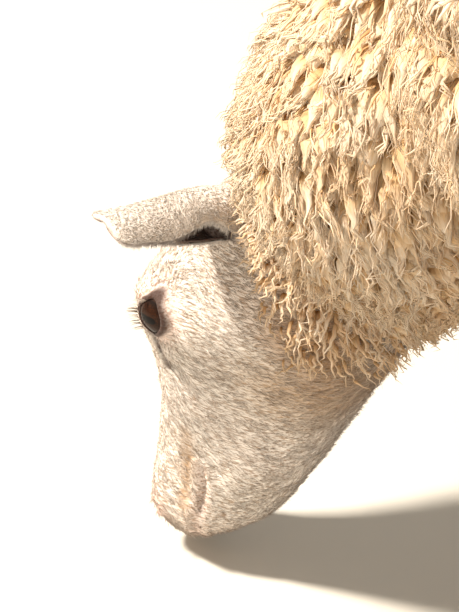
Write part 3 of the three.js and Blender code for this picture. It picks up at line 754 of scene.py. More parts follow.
def raised(tree, height, strength, distance):
    """The normal of a surface raised by the height times the distance."""
    links = {"Height": height, "Strength": strength, "Distance": distance}
    return add_node(tree, "ShaderNodeBump", links).outputs["Normal"]


def finish_material(tree, links, through=None, share=0.0):
    """A principled surface with these inputs; a share of it may let this colour through."""
    surface = add_node(tree, "ShaderNodeBsdfPrincipled", links).outputs["BSDF"]
    if through is not None:
        thin = add_node(tree, "ShaderNodeBsdfTranslucent", {"Color": through}).outputs["BSDF"]
        mix = add_node(tree, "ShaderNodeMixShader", {0: share, 1: surface, 2: thin})
        surface = mix.outputs["Shader"]
    add_node(tree, "ShaderNodeOutputMaterial", {"Surface": surface})


def spread(tree, value, low, high, to_low=0.0, to_high=1.0):
    """Maps a value's range to another, smoothly and clamped."""
    node = add_node(
        tree, "ShaderNodeMapRange",
        {"Value": value, "From Min": low, "From Max": high, "To Min": to_low, "To Max": to_high},
        interpolation_type="SMOOTHSTEP",
    )
    return node.outputs["Result"]


def wool_material(settings, base=False):
    """Long lustre wool, grown in crimped staples: matt, with a soft sheen from fine fibres.

    The tips are bleached cream and the wool is golden tan with lanolin towards the skin,
    and darker there as painted shade of the gaps between locks, so the eye sees light locks over deep
    warm gaps."""
    material, tree = new_material("Wool matted at the base" if base else "Wool in crimped locks")
    tint, tone = read(tree, "tint"), read(tree, "tone")
    fibre = read(tree, "fibre", "Vector")
    # broad stains of lanolin and dust, about 60 mm across
    cloud = noise(tree, object_place(tree), 16.0, 2.0)
    # fibres about 1 mm apart, drawn coarser than the real 0.04 mm so that they show
    strand = noise(tree, fibre, 1.0, 3.0)
    mid = solid(settings.mid)
    # towards the skin the deep colour is lanolin yellow, and also painted shade of the gaps between
    # locks
    low = blended(tree, spread(tree, tint, 0.2, 0.5), solid(settings.deep), mid)
    colour = blended(tree, spread(tree, tint, 0.36, 0.7), low, solid(settings.tip))
    colour = blended(tree, spread(tree, cloud, 0.48, 0.72, 0.0, 0.35), colour, mid)
    colour = blended(tree, spread(tree, tone, 0.0, 0.8, 0.55, 0.0), colour, mid)
    colour = blended(tree, spread(tree, strand, 0.32, 0.6, 0.5, 0.0), colour, mid)
    # light that comes through a thin lock keeps the gaps warm
    finish_material(
        tree,
        {"Base Color": colour, "Normal": raised(tree, strand, 0.65, 0.001), "Roughness": 0.75,
         "IOR": 1.55, "Sheen Weight": 0.1, "Sheen Tint": linear("#ffe0b0"),
         "Sheen Roughness": 0.45, "Specular IOR Level": 0.2},
        through=colour, share=0.36,
    )
    return material


def coat_colour(tree, settings, streak):
    """Colour of the short coat from its markings and painted shade: cream, with tan, pink and dark
    laid over.
    """
    pink, tan, dark = split(tree, read(tree, "marks", "Vector"))
    colour = blended(tree, streak, solid(settings.cream_shadow), solid(settings.cream))
    colour = blended(tree, tan, colour, solid(settings.tan))
    colour = blended(tree, pink, colour, solid(settings.pink))
    return blended(tree, dark, colour, solid(settings.dark))


def skin_material(settings):
    """Living skin under short white hair: pink leather, mostly hidden by hair that lies flat.

    The eye sees fine pale strokes along the lie of the hair, with bare pink only on the nose,
    the lips and inside the ears, and fewer dark gaps on the ears."""
    material, tree = new_material("Skin with short flat hair")
    # hair strokes about 1 mm wide and 7 mm long, coarser than the real 0.06 mm hairs
    strokes = [noise(tree, read(tree, way, "Vector"), 0.8, 3.0) for way in ("lie", "lie_cheek")]
    stroke = between(tree, read(tree, "cheek"), *strokes)
    streak = between(tree, read(tree, "calm"), spread(tree, stroke, 0.36, 0.56), 0.9)
    finish_material(
        tree,
        {"Base Color": coat_colour(tree, settings, streak),
         "Normal": raised(tree, stroke, 0.8, 0.0014), "Roughness": 0.62, "IOR": 1.42,
         "Specular IOR Level": 0.3, "Sheen Weight": 0.04, "Sheen Roughness": 0.5},
    )
    return material


def hair_material(settings):
    """Coarse white hair, solid and slightly glossy: each sliver a little lighter or darker."""
    material, tree = new_material("Short white hair")
    tone, share = read(tree, "tone"), read(tree, "tint")
    colour = coat_colour(tree, settings, spread(tree, tone, 0.05, 0.7))
    # each hair is darker towards its root, where its neighbours shade it
    root = spread(tree, share, 0.0, 0.7, 0.55, 0.0)
    finish_material(
        tree,
        {"Base Color": blended(tree, root, colour, solid(settings.cream_shadow)),
         "Roughness": 0.5, "IOR": 1.55, "Specular IOR Level": 0.4, "Sheen Weight": 0.1,
         "Sheen Roughness": 0.4},
    )
    return material


IRIS_INNER, IRIS_OUTER, IRIS_END = 6.5, 9.6, 10.4  # radii in millimetres: darkening, edge, white
BALL_COLOUR, PUPIL_COLOUR = "#3a2318", "#090504"


def eye_material(settings):
    """Wet eyeball: clear cornea over a dark amber iris, with a level slit pupil of soft edge.

    The eye sees a dark, glossy ball with a warm brown ring round a black bar."""
    material, tree = new_material("Wet eyeball with amber iris")
    x, y, _ = split(tree, read(tree, "sight", "Vector"))
    wide, tall = (
        calculated(tree, "POWER", calculated(tree, "DIVIDE", place, size * 500), power)
        for place, size, power in ((x, settings.pupil_length, 4.0), (y, settings.pupil_height, 2.0))
    )
    pupil = calculated(tree, "ADD", wide, tall)
    flat = flat_vector(tree, x, y)
    radius = add_node(tree, "ShaderNodeVectorMath", {0: flat}, operation="LENGTH").outputs["Value"]
    # iris folds: about 30 round the pupil
    spokes = flat_vector(tree, calculated(tree, "ARCTAN2", y, x), radius)
    fold = spread(tree, noise(tree, spokes, 5.0, 4.0), 0.35, 0.65)
    dark = solid(settings.iris_dark)
    iris = blended(tree, fold, dark, solid(settings.iris))
    iris = blended(tree, spread(tree, radius, IRIS_INNER, IRIS_OUTER), iris, dark)
    edge = spread(tree, radius, IRIS_OUTER - 0.2, IRIS_END)
    ball = blended(tree, edge, iris, linear(BALL_COLOUR))
    colour = blended(tree, spread(tree, pupil, 1.5, 0.7), ball, linear(PUPIL_COLOUR))
    finish_material(
        tree,
        {"Base Color": colour, "Roughness": 0.6, "IOR": 1.376, "Specular IOR Level": 0.1,
         "Coat Weight": 0.3, "Coat Roughness": 0.03, "Coat IOR": 1.376},
    )
    return material


def horn_material(settings):
    """Hoof horn, grown downwards in rings: grey-brown keratin, satin where worn.

    The eye sees darker level rings and dust caught in the grain."""
    material, tree = new_material("Hoof horn")
    place = object_place(tree)
    # growth rings about 6 mm apart, level round the claw
    rings = add_node(
        tree, "ShaderNodeTexWave",
        {"Vector": place, "Scale": 50.0, "Distortion": 1.6, "Detail": 2.0, "Detail Scale": 3.0},
        bands_direction="Z",
    ).outputs["Fac"]
    dust = spread(tree, noise(tree, place, 180.0, 4.0), 0.45, 0.7, 0.0, 0.5)
    colour = blended(tree, rings, solid(settings.horn_dark), solid(settings.horn))
    finish_material(
        tree,
        {"Base Color": blended(tree, dust, colour, linear("#8d7c66")),
         "Normal": raised(tree, rings, 0.35, 0.0006), "Roughness": 0.48, "IOR": 1.54},
    )
    return material


# ---- markings ----------------------------------------------------------------------------


def markings_and_shade(points):
    """Pink, tan and dark shares of the coat at points of the maker's frame: markings, with painted
    shade in the ear's hollow and under the jaw.

    Each is a sum of ramps and bumps about the parts of the head, so skin and hair agree."""
    head = np.stack(to_head(points), -1)
    u, v, w = head[..., 0], head[..., 1], head[..., 2]
    left = mirrored(head)
    on_head = ramp(330, 290, points[..., 2]) * ramp(-395, -415, points[..., 1])
    _, _, _, e = lid_frame(head)
    by_eye = (e < 4) & (np.abs(w) > 30)
    nostril, mouth = to_line(left, NOSTRIL_LINE), to_line(left, MOUTH_LINE)
    inner = ear_inside(points)
    pink = 0.42 * bump(nostril, 9) + 0.22 * bump(mouth, 4.5) + 0.3 * by_eye * bump(e - 1.5, 0.8)
    pink = pink + 0.45 * inner + 0.03 + 0.05 * swell(points, 19)
    # tan on the throat and jowl is stained hair, and also painted shade on the underside of the jaw
    throat = ramp(-38, -78, v) * ramp(135, 60, u)
    stain = bump(to_line(left, STAIN_LINE), 5.5) * (0.8 + 0.2 * swell(points, 6))
    back = ramp(60, 5, u) * ramp(20, -40, v)
    jowl = ramp(-20, -62, v) * ramp(150, 95, u) * (0.75 + 0.25 * swell(points, 9))
    tan = 0.5 * throat + 0.6 * jowl + 0.75 * stain + 0.45 * back + 0.1 * swell(points, 13)
    tan = tan + 0.16 * ramp(165, 225, u)
    dark = 0.95 * by_eye * ramp(1.62, 1.3, e) + bump(to_line(left, TEAR_LINE), 2.9)
    # the ear's hollow is brown hair with painted shade over it, darkest towards the root
    dark = dark + 0.9 * bump(nostril, 1.9) + 0.5 * bump(mouth, 1.2) + 0.9 * inner * ear_hollow_shade(points)
    marks = np.stack([pink, tan, dark], -1) * on_head[..., None]
    return np.clip(marks, 0, 1)


def ear_place(points):
    """How far along the ear each point lies, 0 at its root and 1 at its tip, and its offset."""
    past = np.concatenate([np.abs(points[..., :1]), points[..., 1:]], -1) - from_head(*EAR_ROOT)
    return past @ EAR_AXIS / EAR_LENGTH, past


def ear_inside(points):
    """1 in the ear's hollow and 0 on its back: the side of the leaf's middle the point is on."""
    t, past = ear_place(points)
    clipped = np.clip(t, 0, 1)
    radius, _, hollow, _ = ear_lines(clipped)
    centre = (clipped * EAR_LENGTH)[..., None] * EAR_AXIS
    centre = centre - np.stack([0 * t, 0 * t, EAR_DROOP * clipped**2], -1)
    centre = centre + (radius * ramp(0.15, 1, clipped))[..., None] * hollow
    from_axis = past - centre
    from_axis = from_axis - EAR_AXIS * dot(from_axis, EAR_AXIS)
    return (np.linalg.norm(from_axis, axis=-1) < radius) * ramp(0.03, 0.1, t) * (t < 1.05)


def ear_hollow_shade(points):
    """Painted shade in the ear's hollow, deepest near its root: 1 there, falling to nothing towards
    the tip.
    """
    t, _ = ear_place(points)
    return ramp(0.95, 0.3, t)


# ---- pieces ------------------------------------------------------------------------------

LEG_NODES = [f"leg_{name}_{part}" for name in LEGS for part in ("upper", "lower")]
FLESH = ["head", "lower_jaw", "ear_left", "ear_right", "neck", "trunk", "tail", *LEG_NODES]
EYE_AND_NOSTRIL_U, EYE_T = (94, 246), (0.155, 0.845)  # where the head's grid is densest
BEHIND_FACE, BEHIND_EARS = -395.0, -380.0  # y behind which the skin is the body's


def head_loft():
    """The head's skin on a grid of u and t that crowds round the eyes and the muzzle."""
    u = crowded(236, HEAD_START, HEAD_LENGTH - 0.2, EYE_AND_NOSTRIL_U, 24, 1.6)
    t = crowded(241, 0.0, 1.0, EYE_T, 0.05, 1.5)[:-1]
    return loft(placed(face(u[:, None], t[None]))[:, ::-1])


def ear_loft(side):
    """An ear's skin: rings that run out along its back and return along its hollow."""
    t = np.sin(np.linspace(0.0, math.pi / 2, 64))[:, None]
    q = np.linspace(-0.5, 0.5, 44)[None]
    back = ear(t, q, EAR_SKIN / 2, side)
    hollow = ear(t, q[:, ::-1], -EAR_SKIN / 2, side)
    rings = np.concatenate([back, hollow], axis=1)
    return loft(rings[:, ::-1] if side > 0 else rings, fan=False)


def body_lofts():
    """The bare trunk, neck, tail and legs, each a closed loft that runs into its neighbours."""
    a = np.arange(96)[None] / 96
    made = [
        loft(trunk(np.linspace(0.03, 0.97, 80)[:, None], a, 0.0)),
        loft(neck(np.linspace(0.0, 1.0, 60)[:, None], a[:, ::-1], 0.0)),
        loft(tail(np.linspace(0.0, 0.99, 24)[:, None], a[:, ::-3], 0.0)),
    ]
    for name, (_, _, table, _, _) in LEGS.items():
        heights = np.linspace(36.5, table[0][0], 74)[:, None]
        made.append(loft(leg(name, heights, a[:, ::-2], LEG_SKIN)))
    return made


def corners_of(mesh):
    """The places of a mesh's corners, in metres of the row frame."""
    places = np.empty(len(mesh.vertices) * 3, np.float32)
    mesh.vertices.foreach_get("co", places)
    return places.reshape(-1, 3)


def outward(obj):
    """Turns every face outwards where the enclosed volume, the sum of z times area, is negative."""
    mesh = obj.data
    mesh.calc_loop_triangles()
    corners = np.empty(len(mesh.loop_triangles) * 3, np.int32)
    mesh.loop_triangles.foreach_get("vertices", corners)
    a, b, c = corners_of(mesh)[corners].reshape(-1, 3, 3).transpose(1, 0, 2)
    if np.sum(a * np.cross(b, c)) < 0:
        mesh.flip_normals()
    return obj


def united(name, parts):
    """The closed parts joined into one closed surface by Boolean union, with no inner walls."""
    objects = [outward(new_mesh(f"{name}_{i}", part)) for i, part in enumerate(parts)]
    whole = objects[0]
    for other in objects[1:]:
        union = whole.modifiers.new("union", "BOOLEAN")
        union.operation = "UNION"
        union.solver = "MANIFOLD"
        union.object = other
    graph = bpy.context.evaluated_depsgraph_get()
    mesh = bpy.data.meshes.new_from_object(whole.evaluated_get(graph))
    for obj in objects:
        bpy.data.objects.remove(obj)
    mesh.name = name
    mesh.polygons.foreach_set("use_smooth", np.ones(len(mesh.polygons), bool))
    return new_object(name, mesh)


def lie_coordinates(points):
    """Coordinates that stretch a pattern along the hair: along u on the head, along z on the
    legs, and along the ears.

    Lengths are divided by 6 along the hair and by 0.9 across it, and by half as much on the ears."""
    u, v, w = to_head(points)
    head = np.stack([u / 6, v / 0.9, w / 0.9], -1)
    legs = points / [0.9, 0.9, 6]
    t, past = ear_place(points)
    lengthwise = EAR_AXIS * dot(past, EAR_AXIS)
    ears = (past - lengthwise) / 0.45 + lengthwise / 3
    on_ear = ((t > 0.12) & (points[..., 1] < BEHIND_EARS))[..., None]
    on_head = (points[..., 1] < BEHIND_FACE)[..., None]
    return np.where(on_ear, ears, np.where(on_head, head, legs))


def cheek_coordinates(points):
    """The same stretch on the sides of the face, where hair lies down towards the jaw and back."""
    u, v, w = to_head(points)
    return np.stack([(0.95 * v + 0.31 * u) / 6, (0.95 * u - 0.31 * v) / 0.9, w / 0.9], -1)


def cheek_share(v, w):
    """1 on the sides of the face, below the brow, and 0 on its top."""
    return ramp(26, 0, v) * ramp(4, 22, np.abs(w))


def make_skin(settings):
    """The one skin over head, ears, neck, trunk, tail and legs."""
    obj = united("skin", [*body_lofts(), head_loft(), ear_loft(1), ear_loft(-1)])
    mesh = obj.data
    points = from_metres(corners_of(mesh).astype(float))
    t, _ = ear_place(points)
    on_face = (points[:, 1] < BEHIND_FACE) & (t < 0.12)
    values = {
        "marks": markings_and_shade(points),
        "lie": lie_coordinates(points),
        "lie_cheek": cheek_coordinates(points),
        "cheek": cheek_share(*to_head(points)[1:]) * on_face,
        "calm": 0.85 * ramp(0.05, 0.2, t) * (points[:, 1] < BEHIND_EARS),
    }
    write_values(mesh, values)
    return finish_piece(obj, skin_material(settings), FLESH)


EYE_ROWS, EYE_COLUMNS = 56, 72
BALL_INSET = 0.15  # of the ball under the eye's radius
CORNEA_RISE, CORNEA_ANGLE = 0.75, 0.62  # over the ball, and its half-width in radians


def make_eye(side_name, sign, material):
    """One eyeball: a ball about the line of sight, with the cornea standing 0.6 mm proud."""
    theta = np.linspace(0.02, math.pi - 0.02, EYE_ROWS)[:, None]
    phi = (2 * math.pi * np.arange(EYE_COLUMNS) / EYE_COLUMNS)[None]
    radius = EYE_RADIUS - BALL_INSET + CORNEA_RISE * bump(theta, CORNEA_ANGLE)
    upright = np.cross(GAZE, LEVEL)
    x = radius * np.sin(theta) * np.cos(phi)
    y = radius * np.sin(theta) * np.sin(phi)
    z = radius * np.cos(theta) + 0 * phi
    points = x[..., None] * LEVEL + y[..., None] * upright + z[..., None] * GAZE + EYE_PLACE
    part = loft(placed(points, sign))
    sight = np.stack([x, y, z], -1).reshape(-1, 3)
    part["values"] = {"sight": np.concatenate([sight, [[0, 0, EYE_RADIUS], [0, 0, -EYE_RADIUS]]])}
    obj = outward(new_mesh(f"eyeball_{side_name}", part))
    return finish_piece(obj, material, [f"eye_{side_name}"])


CLAW_HEIGHTS = np.concatenate([np.linspace(0, 3, 5), np.linspace(4.5, 34, 16), [35.2, 36]])
CLAW_COLUMNS, DEWCLAW_ROWS, DEWCLAW_COLUMNS = 64, 14, 28
CLEFT, CLEFT_BULGE = 5.0, 0.5  # between the two claws of a foot, and into it
TOE_TAPER = 0.42  # the share of its width that a claw loses at the toe
SOLE_EDGE, TOP_EDGE = 0.05, 0.3  # how far the sole's and the top's edges draw in, as shares
GROWTH_HEIGHT, GROWTH_RATE = 0.18, 2.1  # of the growth rings, and radians for each millimetre
DEWCLAW_RADIUS, DEWCLAW_LENGTH = 6.5, 16.5
DEWCLAW_ASIDE, DEWCLAW_BEHIND, DEWCLAW_HEIGHT = 10.0, 21.0, 66.0  # its middle, from the foot


def claw(foot_x, foot_y, side):
    """One claw: an oval at each height, narrower at the toe, flat on the side of the cleft."""
    z = CLAW_HEIGHTS[:, None]
    a = (2 * math.pi * np.arange(CLAW_COLUMNS) / CLAW_COLUMNS)[None]
    toe, heel, width = (along(CLAW_RINGS, z, k) for k in (1, 2, 3))
    c, s = np.cos(a), np.sin(a)
    taper = 1 - TOE_TAPER * np.maximum(0, c) ** 2
    bulge = np.where(s > 0, s * width * taper, s * CLEFT_BULGE)
    inset = 1 - SOLE_EDGE * bump(z, 0.8) - TOP_EDGE * ramp(34.5, 36, z)
    y = (toe + heel) / 2 + (toe - heel) / 2 * c * inset
    growth = GROWTH_HEIGHT * np.sin(z * GROWTH_RATE + 0.6 * np.sin(3 * a))
    x = foot_x + side * (CLEFT / 2 + bulge * inset + growth * (s > 0))
    return loft(np.stack([x, foot_y - y, z + 0 * a], -1))


def dewclaw(foot_x, foot_y, side):
    """One dewclaw: a blunt cone turned about a line that points down and back."""
    s = np.linspace(0, 1, DEWCLAW_ROWS)[:, None]
    a = (2 * math.pi * np.arange(DEWCLAW_COLUMNS) / DEWCLAW_COLUMNS)[None]
    radius = DEWCLAW_RADIUS * (1 - s) ** 0.62
    down = np.array([0, math.cos(math.pi / 3), -math.sin(math.pi / 3)])
    up = np.array([0, down[2], -down[1]])
    middle = [foot_x + side * DEWCLAW_ASIDE, foot_y + DEWCLAW_BEHIND, DEWCLAW_HEIGHT]
    middle = np.array(middle) + (s[..., None] - 0.5) * DEWCLAW_LENGTH * down
    ring = np.cos(a)[..., None] * LEFT + np.sin(a)[..., None] * up
    return loft(middle + radius[..., None] * ring)


def make_hooves(settings):
    """The eight claws and the eight dewclaws, each its own piece of horn."""
    material = horn_material(settings)
    for name, (x, y, _, _, _) in LEGS.items():
        for which, side in (("outer", math.copysign(1, x)), ("inner", -math.copysign(1, x))):
            for kind, shape in (("hoof", claw), ("dewclaw", dewclaw)):
                node = f"{kind}_{name}_{which}"
                obj = outward(new_mesh(f"horn_{node}", shape(x, y, side)))
                finish_piece(obj, material, [node])


# ---- wool --------------------------------------------------------------------------------


STATIONS, RING_POINTS = 160, 97  # of the surface measured, along it and round it
ROW_SPACING = 0.9  # between rows, as a share of the spacing along them
JITTER_ALONG, JITTER_ACROSS = 0.36, 0.42  # as shares of the spacing


def scattered(surface, spacing, low, high, rng):
    """Roots spread evenly over a surface: rows nearly a spacing apart, cut into equal lengths.

    surface(b, a) gives points, b from low to high and a all the way round; both are jittered."""
    stations, ring = np.linspace(low, high, STATIONS), np.linspace(0, 1, RING_POINTS)
    grid = surface(stations[:, None], ring[None])
    rows = np.concatenate([[0], np.cumsum(np.linalg.norm(np.diff(grid, axis=0), axis=-1).mean(1))])
    places = np.arange(spacing / 2, rows[-1], spacing * ROW_SPACING)
    b, a = [], []
    for row in np.interp(places, rows, stations):
        points = surface(np.full(RING_POINTS, row), ring)
        run = np.linalg.norm(np.diff(points, axis=0), axis=-1)
        length = np.concatenate([[0], np.cumsum(run)])
        count = max(1, int(length[-1] / spacing))
        share = np.arange(count) + rng.uniform(0, 1)
        share = (share + rng.uniform(-JITTER_ALONG, JITTER_ALONG, count)) % count
        a.append(np.interp(share / count * length[-1], length, ring))
        jitter = rng.uniform(-JITTER_ACROSS, JITTER_ACROSS, count)
        b.append(row + jitter * spacing * (high - low) / rows[-1])
    return np.clip(np.concatenate(b), low, high), np.concatenate(a)


def surface_normal(surface, b, a):
    """Outward normal of a surface of b and a, by small steps, turned away from its middle."""
    along_b = surface(b + 0.004, a) - surface(b - 0.004, a)
    around = surface(b, a + 0.002) - surface(b, a - 0.002)
    normal = unit(np.cross(along_b, around))
    opposite = surface(b, a + 0.5)
    return normal * np.sign(dot(normal, surface(b, a) - opposite))


DOWN_AND_BACK = [0.0, 0.16, -1.0]  # the way gravity and growth pull the wool
PARTING, PARTING_BACK, PARTING_WIDTH = 1.4, 0.35, 30  # strength, backward share, half-width
SWIRL, SWIRL_SCALE = 0.42, 34  # turn of whole patches of wool in radians, and their size


def hanging(points, normal, rng, spread_angle=22.0):
    """The way wool lies: down the slope, parted outwards along the back, and a little astray."""
    top = ramp(0.55, 0.98, normal[:, 2])[:, None]
    nothing = 0 * points[:, 0]
    aside = np.stack([np.tanh(points[:, 0] / PARTING_WIDTH), PARTING_BACK + nothing, nothing], -1)
    pull = DOWN_AND_BACK + top * aside * PARTING
    lie = flat_on(pull + 0.02 * rng.normal(size=points.shape), normal)
    astray = rng.normal(0, math.radians(spread_angle), len(points))
    swirl = SWIRL * swell(points, SWIRL_SCALE) + astray
    return lie * np.cos(swirl)[:, None] + np.cross(normal, lie) * np.sin(swirl)[:, None]


TRAITS = {  # from and to: shares of the shape's own, turns of the curl, and which way it goes
    "height": (0.72, 1.0), "slide": (0.65, 1.25), "phase": (0, 1), "crimp": (0.6, 1.3),
    "turn": (0.4, 1.05), "curl": (0.5, 1.3), "hand": (-1, 1),
}


def lock_traits(count, rng):
    """Random numbers for each lock: how high, long, crimped and curled it is, and its phase."""
    return {name: rng.uniform(*span, count)[:, None, None] for name, span in TRAITS.items()}


LOOSE_SHARE, LOOSE_PHASE = 0.09, 0.07  # how far strands stray from their lock's traits


def loosened(traits, rng):
    """The traits of a strand beside its lock: nearly the same, so that they wave together."""
    made = {k: v * rng.normal(1, LOOSE_SHARE, v.shape) for k, v in traits.items()}
    made["phase"] = traits["phase"] + rng.normal(0, LOOSE_PHASE, traits["phase"].shape)
    return made


FULL_DEPTH = 30  # a lock that stands this deep has its shape's full size


def lock_paths(root, out, normal, lie, steps, shape, traits):
    """Middle lines of locks.

    Point s is root + out (1 - (1 - s)^2.2) + lie slide s^1.5 - normal (slide s^1.5)^2 / 2 bend,
    with a crimp, a sine across and a cosine outwards, that grows along it, and at the tip a curl:
    a circle of growing angle in the plane of across and the normal."""
    s = np.linspace(0, 1, steps + 1)[None, :, None]
    root, out, normal, lie = (k[:, None] for k in (root, out, normal, lie))
    across = np.cross(normal, lie)
    depth = np.linalg.norm(out, axis=-1, keepdims=True)
    slide = shape["slide"] * traits["slide"] * np.clip(depth / FULL_DEPTH, 0.2, 1.15)
    run = slide * s**1.5
    path = root + out * (1 - (1 - s) ** 2.2) * traits["height"] + lie * run
    path = path - normal * run**2 / (2 * shape["bend"])
    phase = 2 * np.pi * (s * (depth + slide) / shape["wave"] + traits["phase"])
    size = shape["crimp"] * traits["crimp"] * s**0.5
    path = path + across * size * np.sin(phase) + normal * 0.5 * size * np.cos(phase * 0.93)
    curl = ramp(0.66, 1.0, s)
    turn = 2 * np.pi * traits["turn"] * curl * np.sign(traits["hand"])
    radius = shape["curl"] * traits["curl"] * curl
    return path + radius * (across * np.sin(turn) + normal * (1 - np.cos(turn)))


LOCK_FLATNESS, LOCK_LOBES = 0.6, 0.26  # a core's thickness over its width, and its ridges
LOCK_GIRTH, STRAND_GIRTH = 5.0, 0.8  # radii of the circles of their fibre coordinates


def lock_set(surface, b, a, shape, rng):
    """Locks on a surface of the coat: a flattened core each, and strands that wave with it.

    They grow from half of the coat's depth to its tips, so that their roots are in its base.
    surface(b, a, share) runs from the skin at share 0 to the tips at share 1."""
    skin, tips = surface(b, a, 0.0), surface(b, a, 1.0)
    normal = surface_normal(tips_of(surface), b, a)
    lie = hanging(tips, normal, rng)
    out = 0.5 * (tips - skin)
    root = skin + out
    across = np.cross(normal, lie)
    uv = np.stack([a % 1, b], -1)
    count, steps, width = len(b), shape["steps"], shape["width"]
    tone = np.clip(0.55 + 0.25 * swell(tips, 23) + rng.normal(0, 0.2, count), 0, 1)
    traits = lock_traits(count, rng)
    small = np.clip(np.linalg.norm(out, axis=-1, keepdims=True) / FULL_DEPTH, 0.45, 1.1)
    core = lock_paths(root, out, normal, lie, steps, shape, traits)
    s = np.linspace(0, 1, steps + 1)[None, :-1]
    radius = width * small * rng.uniform(0.7, 1.25, count)[:, None] * belly(s)
    made = tubes(core, radius, across, shape["sides"], LOCK_FLATNESS, LOCK_LOBES)
    parts = [with_values(made, tone, uv, LOCK_GIRTH, length_of(core))]
    steps = shape["strand_steps"]
    s = np.linspace(0, 1, steps + 1)[None, :, None]
    for order in range(shape["strands"]):
        angle = 2 * np.pi * (order + rng.uniform(0, 1, count)[:, None]) / shape["strands"]
        offset = np.cos(angle) * across + 0.6 * np.sin(angle) * normal
        offset = offset * width * small * rng.uniform(0.8, 1.35, count)[:, None]
        strand = lock_paths(root, out, normal, lie, steps, shape, loosened(traits, rng))
        strand = strand + offset[:, None] * belly(s)
        radius = shape["strand"] * rng.uniform(0.7, 1.3, count)[:, None] * (1 - s[:, :-1, 0]) ** 0.35
        lighter = np.clip(tone + rng.uniform(-0.1, 0.35, count), 0, 1)
        made = tubes(strand, radius, across, 3)
        parts.append(with_values(made, lighter, uv, STRAND_GIRTH, length_of(strand)))
    return joined(parts)


def belly(s):
    """Half-width of a lock along it: full to two fifths, then falling smoothly to a thin tip."""
    return (0.13 + 0.87 * ramp(0.92, 0.4, s)) * np.sqrt(1 - s**6)


def length_of(paths):
    """Length of each path, the sum of its steps."""
    return np.linalg.norm(np.diff(paths, axis=1), axis=-1).sum(1)


def with_values(made, tone, uv, girth, length):
    """Adds a tube set's attributes: share along, tone, fibre coordinates and OFBake patches.

    Fibre coordinates are a circle of the girth, which waves along the tube like crimp, the way
    along in units of 9 mm, and a step of 17 from each tube to the next, to set them apart."""
    owner = made["owner"]
    along_mm = made["share"] * length[owner]
    wave = 0.11 * girth * np.sin(2 * np.pi * along_mm / 6.0)
    x = girth * np.cos(made["round"]) + wave
    y = girth * np.sin(made["round"]) + wave + 17.0 * owner
    fibre = np.stack([x, y, along_mm / 9], -1)
    made["values"] = {"tint": made["share"], "tone": tone[owner], "fibre": fibre}
    made["uvs"] = patches(made, uv)
    return made


BASE_DEPTH = 0.67  # the matted wool under the locks, as a share of the coat's depth


BASE_LUMPS = ((4.0, 11), (2.5, 5))  # height and size of the coarse and the fine lumps


def lumpy(points):
    """Rings of points moved in and out from their middles by lumps of two sizes."""
    centre = points.mean(1, keepdims=True)
    (coarse, coarse_size), (fine, fine_size) = BASE_LUMPS
    lumps = coarse * swell(points, coarse_size) + fine * swell(points[..., ::-1], fine_size)
    return points + unit(points - centre) * lumps[..., None]


def wool_base(settings):
    """The matted wool under the locks: each surface of the coat at two thirds of its depth."""
    a = np.arange(96)[None] / 96
    surfaces = [
        trunk(np.linspace(0.02, 0.98, 80)[:, None], a, BASE_DEPTH),
        neck(np.linspace(0.0, 0.93, 64)[:, None], a[:, ::-1], BASE_DEPTH),
        tail(np.linspace(0, 0.99, 36)[:, None], a[:, ::-2], BASE_DEPTH),
    ]
    for name, (_, _, table, _, joint) in LEGS.items():
        heights = np.linspace(joint - 14, table[0][0], 30)[:, None]
        surfaces.append(leg(name, heights, a[:, ::-2], BASE_DEPTH))
    made = [loft(lumpy(points)) for points in surfaces]
    for order, part in enumerate(made):
        points = part["points"]
        # the base shows between the locks, and its low tint gives it the deep colour: lanolin yellow,
        # and painted shade of the gaps
        tint = (0.3 if order < 2 else 0.48) + 0.1 * swell(points, 14)
        tint = tint + 0.18 * ramp(560, 640, points[:, 2])
        part["values"] = {"tint": tint, "tone": np.full(len(points), 0.5), "fibre": points / 2.2}
    obj = new_mesh("wool_base", joined(made))
    return finish_piece(obj, wool_material(settings, base=True))


FINE_WINDOW = (0.135, 0.172)  # half-width and half-height, in metres
FINE_FACING = -0.3  # least cosine between the coat's normal and the way to the camera


def fine_side(points, normal):
    """True on the left of the neck, within a window across the slanting view of that side."""
    past = as_metres(points) - VIEW_TARGET
    right, up = past @ VIEW_RIGHT, past @ np.cross(unit(VIEW_BACK), VIEW_RIGHT)
    inside = (np.abs(right) < FINE_WINDOW[0]) & (np.abs(up) < FINE_WINDOW[1])
    return inside & ((normal @ unit(VIEW_BACK)) > FINE_FACING)


PIECE_TRIANGLES = 185000  # the most in one piece of wool


def split_locks(name, surface, b, a, shape, rng, material):
    """Makes locks into as many pieces as keep each of them small enough."""
    each = 2 * shape["sides"] * shape["steps"] + shape["strands"] * 6 * shape["strand_steps"]
    pieces = int(np.ceil(len(b) * each / PIECE_TRIANGLES))
    for order, chosen in enumerate(np.array_split(np.argsort(a), pieces)):
        part = lock_set(surface, b[chosen], a[chosen], shape, rng)
        finish_piece(new_mesh(f"{name}_{order + 1}", part), material)


